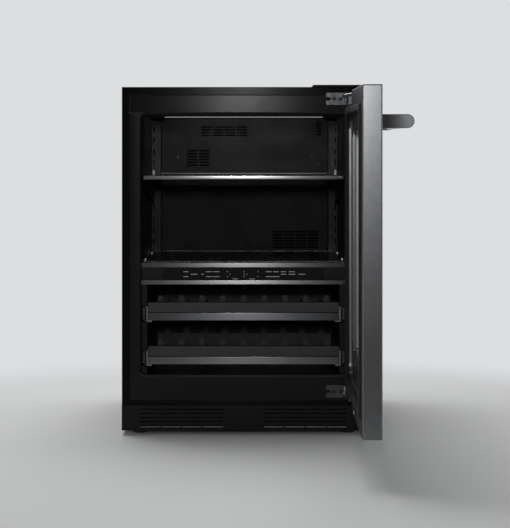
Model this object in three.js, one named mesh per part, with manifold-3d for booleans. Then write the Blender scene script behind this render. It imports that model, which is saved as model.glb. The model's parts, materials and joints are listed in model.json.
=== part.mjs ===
// Undercounter wine cooler: an insulated cabinet with an adjustable glass shelf above, two pull-out
// wine racks below, a glazed door on two corner hinges, and the cooling system behind and beneath.
// Millimetres, +Z up. X runs across the cabinet (hinge side at +X), Y from its front face towards the
// back, Z from the floor. The door is drawn shut and then turned open about its pivot.

import * as THREE from 'three';
import { mergeVertices } from 'three/addons/utils/BufferGeometryUtils.js';
import Module from 'manifold-3d';

const wasm = await Module();
wasm.setup();

// ---------------------------------------------------------------- driving dimensions

const seat = 0.3; // gap kept between two separate pieces that rest on each other
const running = 0.4; // gap between pieces that slide or turn on each other

// cabinet
const caseWidth = 606;
const caseTop = 867;
const caseDepth = 566;
const caseBottom = 12;
const caseSheet = 1.2;
const frameWidth = 20; // folded front edge of the case
const kickTop = 74.7;
const kickThickness = 2.7;
const kickSlotHeight = 5;
const kickSlotPitch = 10.4;
const kickSlotRows = 5;
const kickCells = 4;
const kickCellWidth = 49;
const kickRib = 3.5;
const kickCentreWidth = 90;
const kickCentreProud = 1.5;
const kickMargin = 6; // plain plate between the centre panel and the first slots
const kickCentreLow = 14; // the centre panel starts this far above the plate's lower edge
const kickCentreHigh = 4; // and ends this far under its upper edge
const lowerRail = 12; // height of the case's front rail above the kick grille
const baseSideLip = 28;
const baseFrontLip = 14;
const rearSlotCentres = [-210, -70, 70];
const rearSlotWidth = 90;
const rearSlotHeight = 5;
const rearSlotPitch = 14;
const rearSlotRows = 6;
const rearSlotsBottom = 105;

// liner and insulation
const sideWall = 46.5; // from the case's outside to the cavity
const rearWall = 54;
const headerGap = 1.7; // between the liner's top and the header
const openingBottom = 150;
const linerWall = 3;
const linerRadius = 12;
const humpDepth = 160; // step in the floor over the compressor
const humpTop = 246;
const floorFoam = 30;
const stripWidth = 17; // side strips in the wine zone
const stripFront = 5;
const stripBackGap = 7; // from the strips' back to the step

// header, light, hinge cover
const headerHeight = 43;
const lightInset = 55.5; // from the cavity's walls
const lightDepth = 16;
const lightHeight = 6.5;
const lightFront = 84;
const lightChamfer = 2;
const coverLength = 129.7;
const coverDepth = 130;
const coverHeight = 5.4;
const coverFront = 1;
const coverRadius = 4;

// rear duct panel and shelf tracks
const ductRoom = 52; // behind the duct panel's face
const ductSheet = 3;
const ductCornerRadius = 12;
const ductTopGap = 4; // under the liner's ceiling
const ventRib = 4; // between two cells of one field
const ventBar = 3.3; // between two slots of one cell
const fanVent = { width: 128, height: 28, drop: 20, cells: 4, rows: 4 };
const sideVent = { inset: 69, width: 63, height: 45, drop: 86, cells: 2, rows: 6 };
const returnVent = { inset: 26, width: 127, height: 48, rise: 7, cells: 4, rows: 6 };
const sensorVent = { inset: 17, width: 14, height: 38, drop: 7, cells: 1, rows: 5 };
const seamInset = 51;
const seamWidth = 2;
const seamDepth = 1;
const trackWidth = 26;
const trackDepth = 107;
const slotWidth = 4;
const slotHeight = 16;
const slotPitch = 30.7;
const slotCount = 11;
const slotDepth = 12;
const firstSlot = 30; // centre of the lowest slot above the divider
const slotInset = 7.5; // slot centre from the liner wall

// divider and controls
const dividerTop = 429;
const dividerHeight = 54;
const dividerFront = 22.3;
const trimThickness = 20;
const trimChamfer = 1.5;
const upperTrimHeight = 11.6;
const panelHeight = 31;
const panelThickness = 8;
const boardInset = 116.5; // from the cavity's walls
const boardThickness = 1.6;
const boardHeight = 20;
const chipStarts = [-90, -20, 60];
const chipLength = 18;
const chipHeight = 12;
const chipRise = 2;
const panelRecess = 4; // the control panel lies this far behind the trims' front

// upper shelf
const shelfSlot = 6; // slot that the brackets' upper hooks sit in
const shelfRise = 1.7; // glass top above that slot's centre
const glassSideGap = 13.5;
const glassThickness = 4;
const glassFront = 20;
const glassBackGap = 13; // to the tracks
const shelfTrimGap = 7;
const shelfTrimHeight = 11;
const shelfTrimDepth = 14;
const bracketThickness = 3;
const bracketTip = 12; // height of the bracket at its front end
const bracketRoot = 83; // height of the bracket at the track
const bracketLip = 12; // width of the lip that the glass rests on
const bracketUpstand = 14; // behind the glass
const hookReach = 8; // into the track
const hookDrop = 6;
const hookRise = 4;

// wine racks
const rackSideGap = 18; // from the cavity's wall, with the slide in it
const rackFront = 12;
const upperRackLevel = 300; // centre height of its slides
const lowerRackLevel = 190.4;
const upperRackGap = 92; // behind the upper rack
const lowerRackGap = 10; // to the step
const fasciaHeight = 26;
const fasciaThickness = 10;
const rackTrimHeight = 19;
const rackTrimThickness = 12;
const trimDrop = 15.8; // bottom of the trim below the slides' centre
const cradleEnd = 30.5; // from the rack's side to its first tab
const cradleCount = 9;
const cradleTabWidth = 15;
const cradleTabRise = 15.5;
const tabTaper = 1.5;
const cradleBar = 3;
const rodRadius = 3;
const rodDrop = 4; // rods' centre below the slides' centre
const sideRail = 5; // thickness of the rack's side rails
const railShort = 14; // the slides are this much shorter than the rack

// telescopic slides
const slideSheet = 1.5;
const fixedHalf = 18; // half height of the fixed member
// from the cavity's wall to the members' webs and lips
const fixedWebSet = 10.1;
const fixedLipSet = 16;
const midWebSet = 13.1;
const midLipSet = 16.6;
const slideStart = 16;
const padLength = 20; // the fixed member is screwed to the liner through two pads
const firstPad = 30;

// door, drawn shut
const doorTopGap = 16; // under the case's top
const doorBottom = 102;
const doorThickness = 43;
const doorGap = 8;
const windowSide = 82; // frame width beside the window
const windowAbove = 96;
const windowBelow = 130;
const windowRadius = 28;
const frontLip = 6.7;
const glazingBite = 14; // how far the panes run under the frame
const paneThickness = 4;
const spacerDepth = 15.4;
const spacerWidth = 10;
const linerRecess = 4.3;
const gasketInset = 38;
const gasketWidth = 16;
const gasketDepth = 7.2;
const doorOpenAngle = 90;

// hinges
const pivotInset = 17.6; // from the case's side
const pivotY = -39.6;
const pinRadius = 5;
const pinLength = 24;
const armThickness = 8;
const armBoss = 8;
const plateInset = 33; // from the case's side
const plateLength = 65;
const plateHeight = 31;
const plateThickness = 4;
const armRoot = 24;
const armUnderTop = 11; // the top arm lies this far under the door's top
const pocketLength = 100;
const pocketSkin = 3;
const cupHeight = 20;
const cupChamfer = 12;
const hingeScrews = [13, 41]; // from the plate's left edge
const hingeScrewRadius = 3;

// handle
const handleDrop = 77.5; // from the door's top to the bar's axis
const handleHeight = 30;
const handleReach = 72;
const handleInset = 48; // from the door's sides
const handleEnd = 20;
const handleBarRadius = 14;

// cooling system
const baySheet = 1.5;
const bayCeiling = 213;
const evaporatorInset = 76.5; // from the cavity's walls
const evaporatorFanGap = 38; // between the coil's top and the fan's blades
const evaporatorRise = 76; // above the divider
const evaporatorDepth = 38;
const condenserWidth = 190;
const condenserHeight = 90;
const condenserDepth = 66;
const condenserFront = 40;
const finPitch = 12;
const finThickness = 3;
const finCore = 12;
const fanHubRadius = 13;
const fanHubDepth = 11;
const fanBlades = 7;
const fanRing = 3;
const fanPinRadius = 3;
const bladeThickness = 1.6;
const bladePitch = 32;
const fanGap = 2; // between the blade tips' circle and the ring
const armWidth = 8;
const ringTail = 10; // the ring ends this far behind the hub
const evapFanSet = 16; // the evaporator fan's middle behind the duct panel's face
const shroudThickness = 3;
const shroudMargin = 6;
const evapFanRadius = 42;
const evapFanX = -57;
const evapFanDrop = 64; // from the cavity's ceiling
const condFanRadius = 41;
const condFanInset = 148; // from the case's side
const condFanZ = 66;
const condFanY = 131;
const compressorX = -110;
const compressorBack = 88; // from its axis to the case's back
const compressorRadius = 64;
const compressorHeight = 150;
const compressorLift = 15;
const footPlate = 3;
const grommetRadius = 9;
const grommetInset = 12;
const terminalWidth = 48;
const terminalReach = 22;
const trayLeft = 20;
const trayFront = 35; // behind the bay's front wall
const trayWidth = 180;
const trayDepth = 120;
const trayHeight = 42;
const trayWall = 2;
const inletInset = 78; // from the case's side
const inletZ = 70;
const inletWidth = 48;
const inletHeight = 27;
const inletDepth = 26;
const inletFlange = 2.5;
const inletPins = [-9, 0, 9];

// levelling legs
const legInset = 41; // from the case's side
const legFrontY = 50;
const legBackInset = 51;
const footRadius = 19;
const footHeight = 8;
const studRadius = 6;
const studTop = 45;
const bossRadius = 12;
const bossHeight = 15;

// ---------------------------------------------------------------- derived places

const halfCase = caseWidth / 2;
const halfOpening = halfCase - sideWall;
const cavityDepth = caseDepth - rearWall;
const humpFront = cavityDepth - humpDepth;
const flangeHalf = halfCase - frameWidth;
const railTop = kickTop + seat + lowerRail;
const headerTop = caseTop - frameWidth - seat;
const headerBottom = headerTop - headerHeight;
const openingTop = headerBottom - headerGap - linerWall;
const ductFace = cavityDepth - ductRoom;
const trackFace = cavityDepth - trackDepth;
const stripInner = halfOpening - stripWidth;
const stripBack = humpFront - stripBackGap;
const doorOuter = -doorGap - doorThickness;
const doorTop = caseTop - doorTopGap;
const pivotX = halfCase - pivotInset;
const plateRight = halfCase - plateInset;
const plateLeft = plateRight - plateLength;
const armRootLeft = plateRight - armRoot;
const pocketLeft = halfCase - pocketLength;
const topArmLow = doorTop - armUnderTop;
const handleLevel = doorTop - handleDrop;
const handleHalf = halfCase - handleInset;
const humpWall = humpFront + linerWall;
const bayFront = humpWall + floorFoam;
const floorUnder = openingBottom - linerWall;
const foamBottom = floorUnder - floorFoam;
const trackInner = halfOpening - seat - trackWidth;
const slotX = halfOpening - slotInset;
const slotZ = (k) => dividerTop + firstSlot + k * slotPitch;
const shelfTop = slotZ(shelfSlot) + shelfRise;
const glassBottom = shelfTop - glassThickness;
const glassHalf = halfOpening - glassSideGap;
const glassBack = trackFace - glassBackGap;
const rackHalf = halfOpening - rackSideGap;
const cradlePitch = (rackHalf - cradleEnd) * 2 / (cradleCount - 1);
const upperRackDepth = cavityDepth - upperRackGap - rackFront;
const lowerRackDepth = humpFront - lowerRackGap - rackFront;
const fixedWeb = halfOpening - fixedWebSet;
const fixedLip = halfOpening - fixedLipSet;
const midWeb = halfOpening - midWebSet;
const midLip = halfOpening - midLipSet;
const fasciaBack = rackFront + Math.max(fasciaThickness, rackTrimThickness);
const controlTop = dividerTop - upperTrimHeight - seat;
const controlBottom = controlTop - panelHeight;
const dividerBottom = dividerTop - dividerHeight;
const baseTop = caseBottom + baySheet;
const evapFanY = ductFace + evapFanSet;
const evapFanZ = openingTop - evapFanDrop;
const evaporatorBottom = dividerTop + evaporatorRise;
const compressorY = caseDepth - compressorBack;
const inletX = halfCase - inletInset;
const condFanX = condFanInset - halfCase;
const legX = halfCase - legInset;
const legBackY = caseDepth - legBackInset;
const outerPane = doorOuter + frontLip + seat;
const spacerFace = outerPane + paneThickness + seat;
const innerPane = spacerFace + spacerDepth + seat;
const retainerFace = innerPane + paneThickness + seat;

// ---------------------------------------------------------------- solids

// A closed mesh becomes a manifold solid once only its positions are left and merged. Positions are
// rounded to a micrometre, so that faces meant to lie in one plane do.
function solid(geometry) {
  const bare = geometry.clone();
  bare.deleteAttribute('normal');
  bare.deleteAttribute('uv');
  const merged = mergeVertices(bare, 1e-4);
  return new wasm.Manifold(new wasm.Mesh({
    numProp: 3,
    vertProperties: Float32Array.from(merged.attributes.position.array, (v) => Math.round(v * 1000) / 1000),
    triVerts: new Uint32Array(merged.index.array),
  }));
}

function geometryOf(body) {
  const mesh = body.getMesh();
  const geometry = new THREE.BufferGeometry();
  geometry.setAttribute('position', new THREE.BufferAttribute(new Float32Array(mesh.vertProperties), 3));
  geometry.setIndex(new THREE.BufferAttribute(new Uint32Array(mesh.triVerts), 1));
  geometry.computeVertexNormals();
  return geometry;
}

const join = (...bodies) => bodies.reduce((whole, body) => whole.add(body));
const cut = (body, ...tools) => tools.reduce((whole, tool) => whole.subtract(tool), body);

function block(x0, x1, y0, y1, z0, z1) {
  const box = new THREE.BoxGeometry(x1 - x0, y1 - y0, z1 - z0);
  box.translate((x0 + x1) / 2, (y0 + y1) / 2, (z0 + z1) / 2);
  return solid(box);
}

// A block whose X runs from near to far on the side given by sign.
function sideBlock(sign, near, far, y0, y1, z0, z1) {
  return sign > 0 ? block(near, far, y0, y1, z0, z1) : block(-far, -near, y0, y1, z0, z1);
}

// Extrusions along each axis. The shape's own axes are (X, Z) along Y, (Y, Z) along X, (X, Y) along Z.
function along(shape, from, to, axis, curveSegments = 4) {
  const geometry = new THREE.ExtrudeGeometry(shape, {
    depth: to - from, bevelEnabled: false, steps: 1, curveSegments,
  });
  geometry.translate(0, 0, from);
  const turn = new THREE.Matrix4();
  if (axis === 'x') {
    turn.makeBasis(new THREE.Vector3(0, 1, 0), new THREE.Vector3(0, 0, 1), new THREE.Vector3(1, 0, 0));
  }
  if (axis === 'y') {
    geometry.translate(0, 0, -from - to);
    turn.makeBasis(new THREE.Vector3(1, 0, 0), new THREE.Vector3(0, 0, 1), new THREE.Vector3(0, -1, 0));
  }
  geometry.applyMatrix4(turn);
  return solid(geometry);
}

function outline(points) {
  return new THREE.Shape(points.map(([x, y]) => new THREE.Vector2(x, y)));
}

function roundedRect(x0, x1, y0, y1, r, path = new THREE.Shape()) {
  path.moveTo(x0 + r, y0);
  path.lineTo(x1 - r, y0);
  path.absarc(x1 - r, y0 + r, r, -Math.PI / 2, 0, false);
  path.lineTo(x1, y1 - r);
  path.absarc(x1 - r, y1 - r, r, 0, Math.PI / 2, false);
  path.lineTo(x0 + r, y1);
  path.absarc(x0 + r, y1 - r, r, Math.PI / 2, Math.PI, false);
  path.lineTo(x0, y0 + r);
  path.absarc(x0 + r, y0 + r, r, Math.PI, Math.PI * 1.5, false);
  return path;
}

function cylinder(axis, x, y, z, radius, length, sides = 20) {
  const geometry = new THREE.CylinderGeometry(radius, radius, length, sides);
  if (axis === 'x') geometry.rotateZ(Math.PI / 2);
  if (axis === 'z') geometry.rotateX(Math.PI / 2);
  geometry.translate(x, y, z);
  return solid(geometry);
}

// A turned piece: the profile's points are (radius, height) and start and end on the axis.
function turned(profile, x, y, sides = 20) {
  const geometry = new THREE.LatheGeometry(profile.map(([r, z]) => new THREE.Vector2(r, z)), sides);
  geometry.rotateX(Math.PI / 2);
  geometry.translate(x, y, 0);
  return solid(geometry);
}

// ---------------------------------------------------------------- finishes

const finish = (color, roughness, metalness) =>
  new THREE.MeshStandardMaterial({ color, roughness, metalness });
const blackPaint = finish(0x17181a, 0.45, 0.2);
const blackPlastic = finish(0x111214, 0.55, 0);
const greyPlastic = finish(0x2a2b2e, 0.5, 0);
const glossBlack = finish(0x0a0a0c, 0.08, 0);
const stainless = finish(0xb9bbbd, 0.3, 1);
const chrome = finish(0xd9dbde, 0.12, 1);
const zinc = finish(0x9b9da0, 0.45, 1);
const aluminium = finish(0xc2c5c8, 0.4, 1);
const copper = finish(0x8a5a3c, 0.4, 1);
const glass = new THREE.MeshStandardMaterial({
  color: 0xdfe6e6, roughness: 0.03, metalness: 0, transparent: true, opacity: 0.3,
});
const rubber = finish(0x1a1a1b, 0.8, 0);
const foam = finish(0xd8c9a0, 0.9, 0);
const boardGreen = finish(0x1f5a3a, 0.5, 0);
const lens = finish(0xf2f2ea, 0.4, 0);

const cabinet = new THREE.Group();
const doorLeaf = new THREE.Group();

function place(group, name, body, material) {
  const mesh = new THREE.Mesh(geometryOf(body), material);
  mesh.name = name;
  group.add(mesh);
}

// ---------------------------------------------------------------- case, back and base

function outerCase() {
  const front = cut(block(-halfCase, halfCase, 0, caseSheet, kickTop + seat, caseTop),
    block(-flangeHalf, flangeHalf, -1, caseSheet + 1, railTop, caseTop - frameWidth));
  const walls = [-1, 1].map((s) =>
    sideBlock(s, halfCase - caseSheet, halfCase, 0, caseDepth, caseBottom, caseTop));
  const top = block(-halfCase, halfCase, 0, caseDepth, caseTop - caseSheet, caseTop);
  return join(front, ...walls, top);
}

function rearPanel() {
  const y0 = caseDepth + seat;
  const sheet = block(-halfCase, halfCase, y0, y0 + caseSheet, caseBottom, caseTop);
  const slots = [];
  for (const x of rearSlotCentres) {
    for (let row = 0; row < rearSlotRows; row += 1) {
      const z = rearSlotsBottom + row * rearSlotPitch;
      slots.push(block(x - rearSlotWidth / 2, x + rearSlotWidth / 2, y0 - 1, y0 + caseSheet + 1,
        z, z + rearSlotHeight));
    }
  }
  const inlet = block(inletX - inletWidth / 2 - seat, inletX + inletWidth / 2 + seat,
    y0 - 1, y0 + caseSheet + 1, inletZ - inletHeight / 2 - seat, inletZ + inletHeight / 2 + seat);
  return cut(sheet, ...slots, inlet);
}

const legPlaces = [['front_left', -legX, legFrontY], ['front_right', legX, legFrontY],
  ['rear_left', -legX, legBackY], ['rear_right', legX, legBackY]];

function basePan() {
  const half = halfCase - caseSheet - seat;
  const front = caseSheet + seat;
  const back = caseDepth - seat;
  const floor = block(-half, half, front, back, caseBottom, baseTop);
  const lips = [-1, 1].map((s) => sideBlock(s, half - baySheet, half, front, back,
    caseBottom, caseBottom + baseSideLip));
  const frontEdge = block(-half, half, front, front + baySheet, caseBottom, caseBottom + baseFrontLip);
  const bosses = legPlaces.map(([, x, y]) =>
    cylinder('z', x, y, baseTop + bossHeight / 2 - 0.5, bossRadius, bossHeight + 1));
  const bores = legPlaces.map(([, x, y]) => cylinder('z', x, y, caseBottom + 20, studRadius + seat, 60));
  return cut(join(floor, ...lips, frontEdge, ...bosses), ...bores);
}

function levellingLeg(x, y) {
  const nutTop = caseBottom - seat;
  return turned([[0, 0], [footRadius - 1.5, 0], [footRadius, 2], [footRadius, footHeight - 3],
    [footRadius - 6, footHeight], [studRadius + 4, footHeight], [studRadius + 4, nutTop],
    [studRadius, nutTop], [studRadius, studTop - 1], [studRadius - 1, studTop], [0, studTop]], x, y);
}

function kickGrille() {
  const front = -seat - kickThickness;
  const slotSpan = kickSlotRows * kickSlotPitch;
  const lowSlot = (kickTop + caseBottom - slotSpan + kickSlotPitch - kickSlotHeight) / 2;
  const cellPitch = kickCellWidth + kickRib;
  const slots = [];
  for (const sign of [-1, 1]) {
    for (let cell = 0; cell < kickCells; cell += 1) {
      const near = kickCentreWidth / 2 + kickMargin + cell * cellPitch;
      for (let row = 0; row < kickSlotRows; row += 1) {
        const z = lowSlot + row * kickSlotPitch;
        slots.push(sideBlock(sign, near, near + kickCellWidth, front - 5, 5, z, z + kickSlotHeight));
      }
    }
  }
  const plate = block(-halfCase, halfCase, front, -seat, caseBottom, kickTop);
  const centre = block(-kickCentreWidth / 2, kickCentreWidth / 2, front - kickCentreProud, -seat,
    caseBottom + kickCentreLow, kickTop - kickCentreHigh);
  return cut(join(plate, centre), ...slots);
}

place(cabinet, 'outer_case', outerCase(), blackPaint);
place(cabinet, 'rear_panel', rearPanel(), zinc);
place(cabinet, 'base_pan', basePan(), zinc);
for (const [name, x, y] of legPlaces) place(cabinet, `levelling_leg_${name}`, levellingLeg(x, y), rubber);
place(cabinet, 'kick_grille', kickGrille(), blackPaint);

// ---------------------------------------------------------------- liner, insulation, header

const recessHalf = fixedHalf + 2.5;

function innerLiner() {
  const outer = along(roundedRect(-halfOpening - linerWall, halfOpening + linerWall,
    floorUnder, openingTop + linerWall, linerRadius + linerWall), 0, cavityDepth + linerWall, 'y');
  const flange = block(-flangeHalf + seat, flangeHalf - seat, 0, linerWall,
    railTop + seat, headerBottom - seat);
  const hump = block(-halfOpening - 1, halfOpening + 1, humpFront, cavityDepth + 1, 0, humpTop);
  const cavity = cut(along(roundedRect(-halfOpening, halfOpening, openingBottom, openingTop, linerRadius),
    -1, cavityDepth, 'y'), hump);
  const under = block(-halfOpening - 9, halfOpening + 9, humpWall, cavityDepth + 9, 0, humpTop - linerWall);
  const strips = [];
  const stripEnds = [openingBottom, lowerRackLevel - recessHalf, lowerRackLevel + recessHalf,
    upperRackLevel - recessHalf, upperRackLevel + recessHalf, dividerBottom - seat];
  for (const sign of [-1, 1]) {
    for (let k = 0; k < stripEnds.length; k += 2) {
      strips.push(sideBlock(sign, stripInner, halfOpening + 1, stripFront, stripBack,
        stripEnds[k] - (k ? 0 : 1), stripEnds[k + 1]));
    }
  }
  const filler = join(...strips).intersect(outer);
  return join(cut(join(outer, flange), cavity, under), filler);
}

function foamInsulation() {
  const wall = halfCase - caseSheet - seat;
  const around = halfOpening + linerWall + seat;
  const front = linerWall + seat;
  const back = caseDepth - seat;
  const whole = block(-wall, wall, front, back, foamBottom, caseTop - caseSheet - seat);
  const hollow = along(roundedRect(-around, around, floorUnder - seat, openingTop + linerWall + seat,
    linerRadius + linerWall), -1, cavityDepth + linerWall + seat, 'y');
  const roof = block(-around - 1, around + 1, humpWall + seat, back, bayCeiling, humpTop - linerWall - seat);
  const riser = block(-around - 1, around + 1, humpWall + seat, bayFront, foamBottom,
    humpTop - linerWall - seat);
  const bay = block(-halfCase, halfCase, bayFront, caseDepth + 1, 0, bayCeiling);
  return cut(join(cut(whole, hollow), roof, riser), bay);
}

function headerPanel() {
  return block(-flangeHalf + seat, flangeHalf - seat, 0, linerWall, headerBottom, headerTop);
}

function hingeCoverPlate() {
  const z0 = caseTop + seat;
  const right = halfCase - seat;
  return along(roundedRect(right - coverLength, right, coverFront, coverDepth, coverRadius),
    z0, z0 + coverHeight, 'z', 3);
}

function ceilingLight() {
  const top = openingTop - seat;
  const low = top - lightHeight;
  const back = lightFront + lightDepth;
  const c = lightChamfer;
  return along(outline([[back, top], [back, low + c], [back - c, low], [lightFront + c, low],
    [lightFront, low + c], [lightFront, top]]), lightInset - halfOpening, halfOpening - lightInset, 'x');
}

place(cabinet, 'inner_liner', innerLiner(), blackPlastic);
place(cabinet, 'foam_insulation', foamInsulation(), foam);
place(cabinet, 'header_panel', headerPanel(), glossBlack);
place(cabinet, 'hinge_cover_plate', hingeCoverPlate(), blackPaint);
place(cabinet, 'ceiling_light', ceilingLight(), lens);

// ---------------------------------------------------------------- fans and coils

// The hub's blind bore and the pin in it end this far behind the middle of the hub.
const boreStart = 3 - fanHubDepth / 2;

// Impeller on an axis along Y: a hub with a blind bore from behind, and pitched blades.
function impeller(x, y, z, radius) {
  const hub = cylinder('y', x, y, z, fanHubRadius, fanHubDepth);
  const blades = [];
  for (let k = 0; k < fanBlades; k += 1) {
    const shape = outline([[fanHubRadius - 2, -7], [radius - 6, -11], [radius - 1.5, -5], [radius - 1.5, 5],
      [radius - 6, 9], [fanHubRadius - 2, 6]]);
    const blade = new THREE.ExtrudeGeometry(shape, { depth: bladeThickness, bevelEnabled: false, steps: 1 });
    blade.translate(0, 0, -bladeThickness / 2);
    blade.rotateX(THREE.MathUtils.degToRad(bladePitch));
    blade.rotateX(Math.PI / 2);
    blade.rotateY((k * 2 * Math.PI) / fanBlades);
    blade.translate(x, y, z);
    blades.push(solid(blade));
  }
  const bore = cylinder('y', x, y + boreStart + fanHubDepth / 2, z, fanPinRadius + seat, fanHubDepth, 12);
  return cut(join(hub, ...blades), bore);
}

// What carries an impeller: a ring, a cross arm behind it and the motor boss with its pin.
function fanCarrier(x, y, z, radius, ringFront) {
  const inner = radius + fanGap;
  const ringBack = y + fanHubDepth / 2 + ringTail;
  const ring = cut(cylinder('y', x, (ringFront + ringBack) / 2, z, inner + fanRing, ringBack - ringFront, 28),
    cylinder('y', x, (ringFront + ringBack) / 2, z, inner, ringBack - ringFront + 4, 28));
  const bossFront = y + fanHubDepth / 2 + running;
  const half = armWidth / 2;
  const arms = [block(x - inner - 1, x + inner + 1, ringBack - fanRing, ringBack, z - half, z + half),
    block(x - half, x + half, ringBack - fanRing, ringBack, z - inner - 1, z + inner + 1)];
  const boss = cylinder('y', x, (bossFront + ringBack) / 2, z, fanHubRadius - 1, ringBack - bossFront);
  const pinStart = y + boreStart + seat;
  const pin = cylinder('y', x, (pinStart + ringBack) / 2, z, fanPinRadius, ringBack - pinStart, 12);
  return join(ring, ...arms, boss, pin);
}

// A finned coil: fins stand on both faces of a core, and a header pipe runs along each end.
function finnedCoil(x0, x1, y0, y1, z0, z1) {
  const core = (y0 + y1) / 2;
  const front = core - finCore / 2;
  const back = core + finCore / 2;
  const points = [[x0, front]];
  const teeth = Math.floor((x1 - x0) / finPitch);
  const start = x0 + ((x1 - x0) - (teeth - 1) * finPitch - finThickness) / 2;
  for (let k = 0; k < teeth; k += 1) {
    const x = start + k * finPitch;
    points.push([x, front], [x, y0], [x + finThickness, y0], [x + finThickness, front]);
  }
  points.push([x1, front], [x1, back]);
  for (let k = teeth - 1; k >= 0; k -= 1) {
    const x = start + k * finPitch;
    points.push([x + finThickness, back], [x + finThickness, y1], [x, y1], [x, back]);
  }
  points.push([x0, back]);
  const pipes = [x0, x1].map((x) => cylinder('z', x, core, (z0 + z1) / 2, finCore / 2, z1 - z0, 12));
  return join(along(outline(points), z0, z1, 'z'), ...pipes);
}

// ---------------------------------------------------------------- rear duct panel and tracks

// A field of slots through the panel: cells side by side, each with rows of slots and bars between them.
function ventSlots({ width, height, cells, rows }, left, low) {
  const cell = (width - ventRib * (cells - 1)) / cells;
  const slot = (height - ventBar * (rows - 1)) / rows;
  const slots = [];
  for (let c = 0; c < cells; c += 1) {
    for (let r = 0; r < rows; r += 1) {
      const x = left + c * (cell + ventRib);
      const z = low + r * (slot + ventBar);
      slots.push(block(x, x + cell, ductFace - 5, ductFace + ductSheet + 5, z, z + slot));
    }
  }
  return slots;
}

function rearDuctPanel() {
  const half = trackInner - seat;
  const top = openingTop - ductTopGap;
  const sheet = along(roundedRect(-half, half, dividerTop + seat, top, ductCornerRadius),
    ductFace, ductFace + ductSheet, 'y', 3);
  const lowOf = (vent) => top - vent.drop - vent.height;
  const vents = [
    ...ventSlots(fanVent, evapFanX - fanVent.width / 2, lowOf(fanVent)),
    ...ventSlots(sideVent, sideVent.inset - half, lowOf(sideVent)),
    ...ventSlots(returnVent, half - returnVent.inset - returnVent.width, dividerTop + returnVent.rise),
    ...ventSlots(sensorVent, half - sensorVent.inset - sensorVent.width, lowOf(sensorVent)),
  ];
  const seamX = half - seamInset;
  const seam = block(seamX - seamWidth / 2, seamX + seamWidth / 2, ductFace - 1, ductFace + seamDepth,
    shelfTop + 10, top + 1);
  const carrier = fanCarrier(evapFanX, evapFanY, evapFanZ, evapFanRadius, ductFace + ductSheet - 0.5);
  return join(cut(sheet, ...vents, seam), carrier);
}

function shelfTrack(sign) {
  const post = sideBlock(sign, trackInner, halfOpening - seat, trackFace, cavityDepth - seat,
    dividerTop + seat, openingTop - linerRadius);
  const slots = [];
  for (let k = 0; k < slotCount; k += 1) {
    slots.push(sideBlock(sign, slotX - slotWidth / 2, slotX + slotWidth / 2, trackFace - 1,
      trackFace + slotDepth, slotZ(k) - slotHeight / 2, slotZ(k) + slotHeight / 2));
  }
  return cut(post, ...slots);
}

function evaporator() {
  const back = cavityDepth - seat;
  const half = halfOpening - evaporatorInset;
  return finnedCoil(-half, half, back - evaporatorDepth, back,
    evaporatorBottom, evapFanZ - evapFanRadius - evaporatorFanGap);
}

place(cabinet, 'rear_duct_panel', rearDuctPanel(), blackPlastic);
place(cabinet, 'shelf_track_left', shelfTrack(-1), blackPlastic);
place(cabinet, 'shelf_track_right', shelfTrack(1), blackPlastic);
place(cabinet, 'evaporator', evaporator(), aluminium);
place(cabinet, 'evaporator_fan', impeller(evapFanX, evapFanY, evapFanZ, evapFanRadius), blackPlastic);

// ---------------------------------------------------------------- divider and controls

const innerFit = halfOpening - seat;
const trimFront = dividerFront - seat - trimThickness;

// A strip along X whose two front edges are chamfered.
function chamferedStrip(y0, y1, z0, z1, half) {
  const c = trimChamfer;
  return along(outline([[y0 + c, z0], [y0, z0 + c], [y0, z1 - c], [y0 + c, z1], [y1, z1], [y1, z0]]),
    -half, half, 'x');
}

function trimStrip(z0, z1) {
  return chamferedStrip(trimFront, dividerFront - seat, z0, z1, innerFit);
}

function dividerBody() {
  return along(roundedRect(-innerFit, innerFit, dividerBottom, dividerTop - 0.4, 1),
    dividerFront, cavityDepth - seat, 'y', 2);
}

function controlPanel() {
  const front = trimFront + panelRecess;
  return block(-innerFit, innerFit, front, front + panelThickness, controlBottom, controlTop);
}

function controlBoard() {
  const front = trimFront + panelRecess + panelThickness + seat;
  const middle = (controlTop + controlBottom) / 2;
  const board = block(boardInset - halfOpening, halfOpening - boardInset, front, front + boardThickness,
    middle - boardHeight / 2, middle + boardHeight / 2);
  const chips = chipStarts.map((x) => block(x, x + chipLength, front, front + boardThickness + chipRise,
    middle - chipHeight / 2, middle + chipHeight / 2));
  return join(board, ...chips);
}

place(cabinet, 'divider_body', dividerBody(), greyPlastic);
place(cabinet, 'divider_front_trim', trimStrip(dividerTop - upperTrimHeight, dividerTop), stainless);
place(cabinet, 'control_panel', controlPanel(), glossBlack);
place(cabinet, 'control_board', controlBoard(), boardGreen);
place(cabinet, 'control_lower_trim', trimStrip(dividerBottom, controlBottom - seat), stainless);

// ---------------------------------------------------------------- adjustable glass shelf

function shelfGlass() {
  return along(roundedRect(-glassHalf, glassHalf, glassFront, glassBack, 4),
    glassBottom, shelfTop, 'z', 2);
}

function shelfFrontTrim() {
  const y1 = glassFront + 2;
  const y0 = y1 - shelfTrimDepth;
  const z1 = shelfTop + 2.3;
  const z0 = z1 - shelfTrimHeight;
  const low = glassBottom - seat;
  const high = shelfTop + seat;
  const profile = outline([[y0 + 2, z0], [y1, z0], [y1, low], [glassFront - seat, low],
    [glassFront - seat, high], [y1, high], [y1, z1], [y0 + 2, z1], [y0, z1 - 2], [y0, z0 + 2]]);
  return along(profile, shelfTrimGap - halfOpening, halfOpening - shelfTrimGap, 'x');
}

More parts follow.
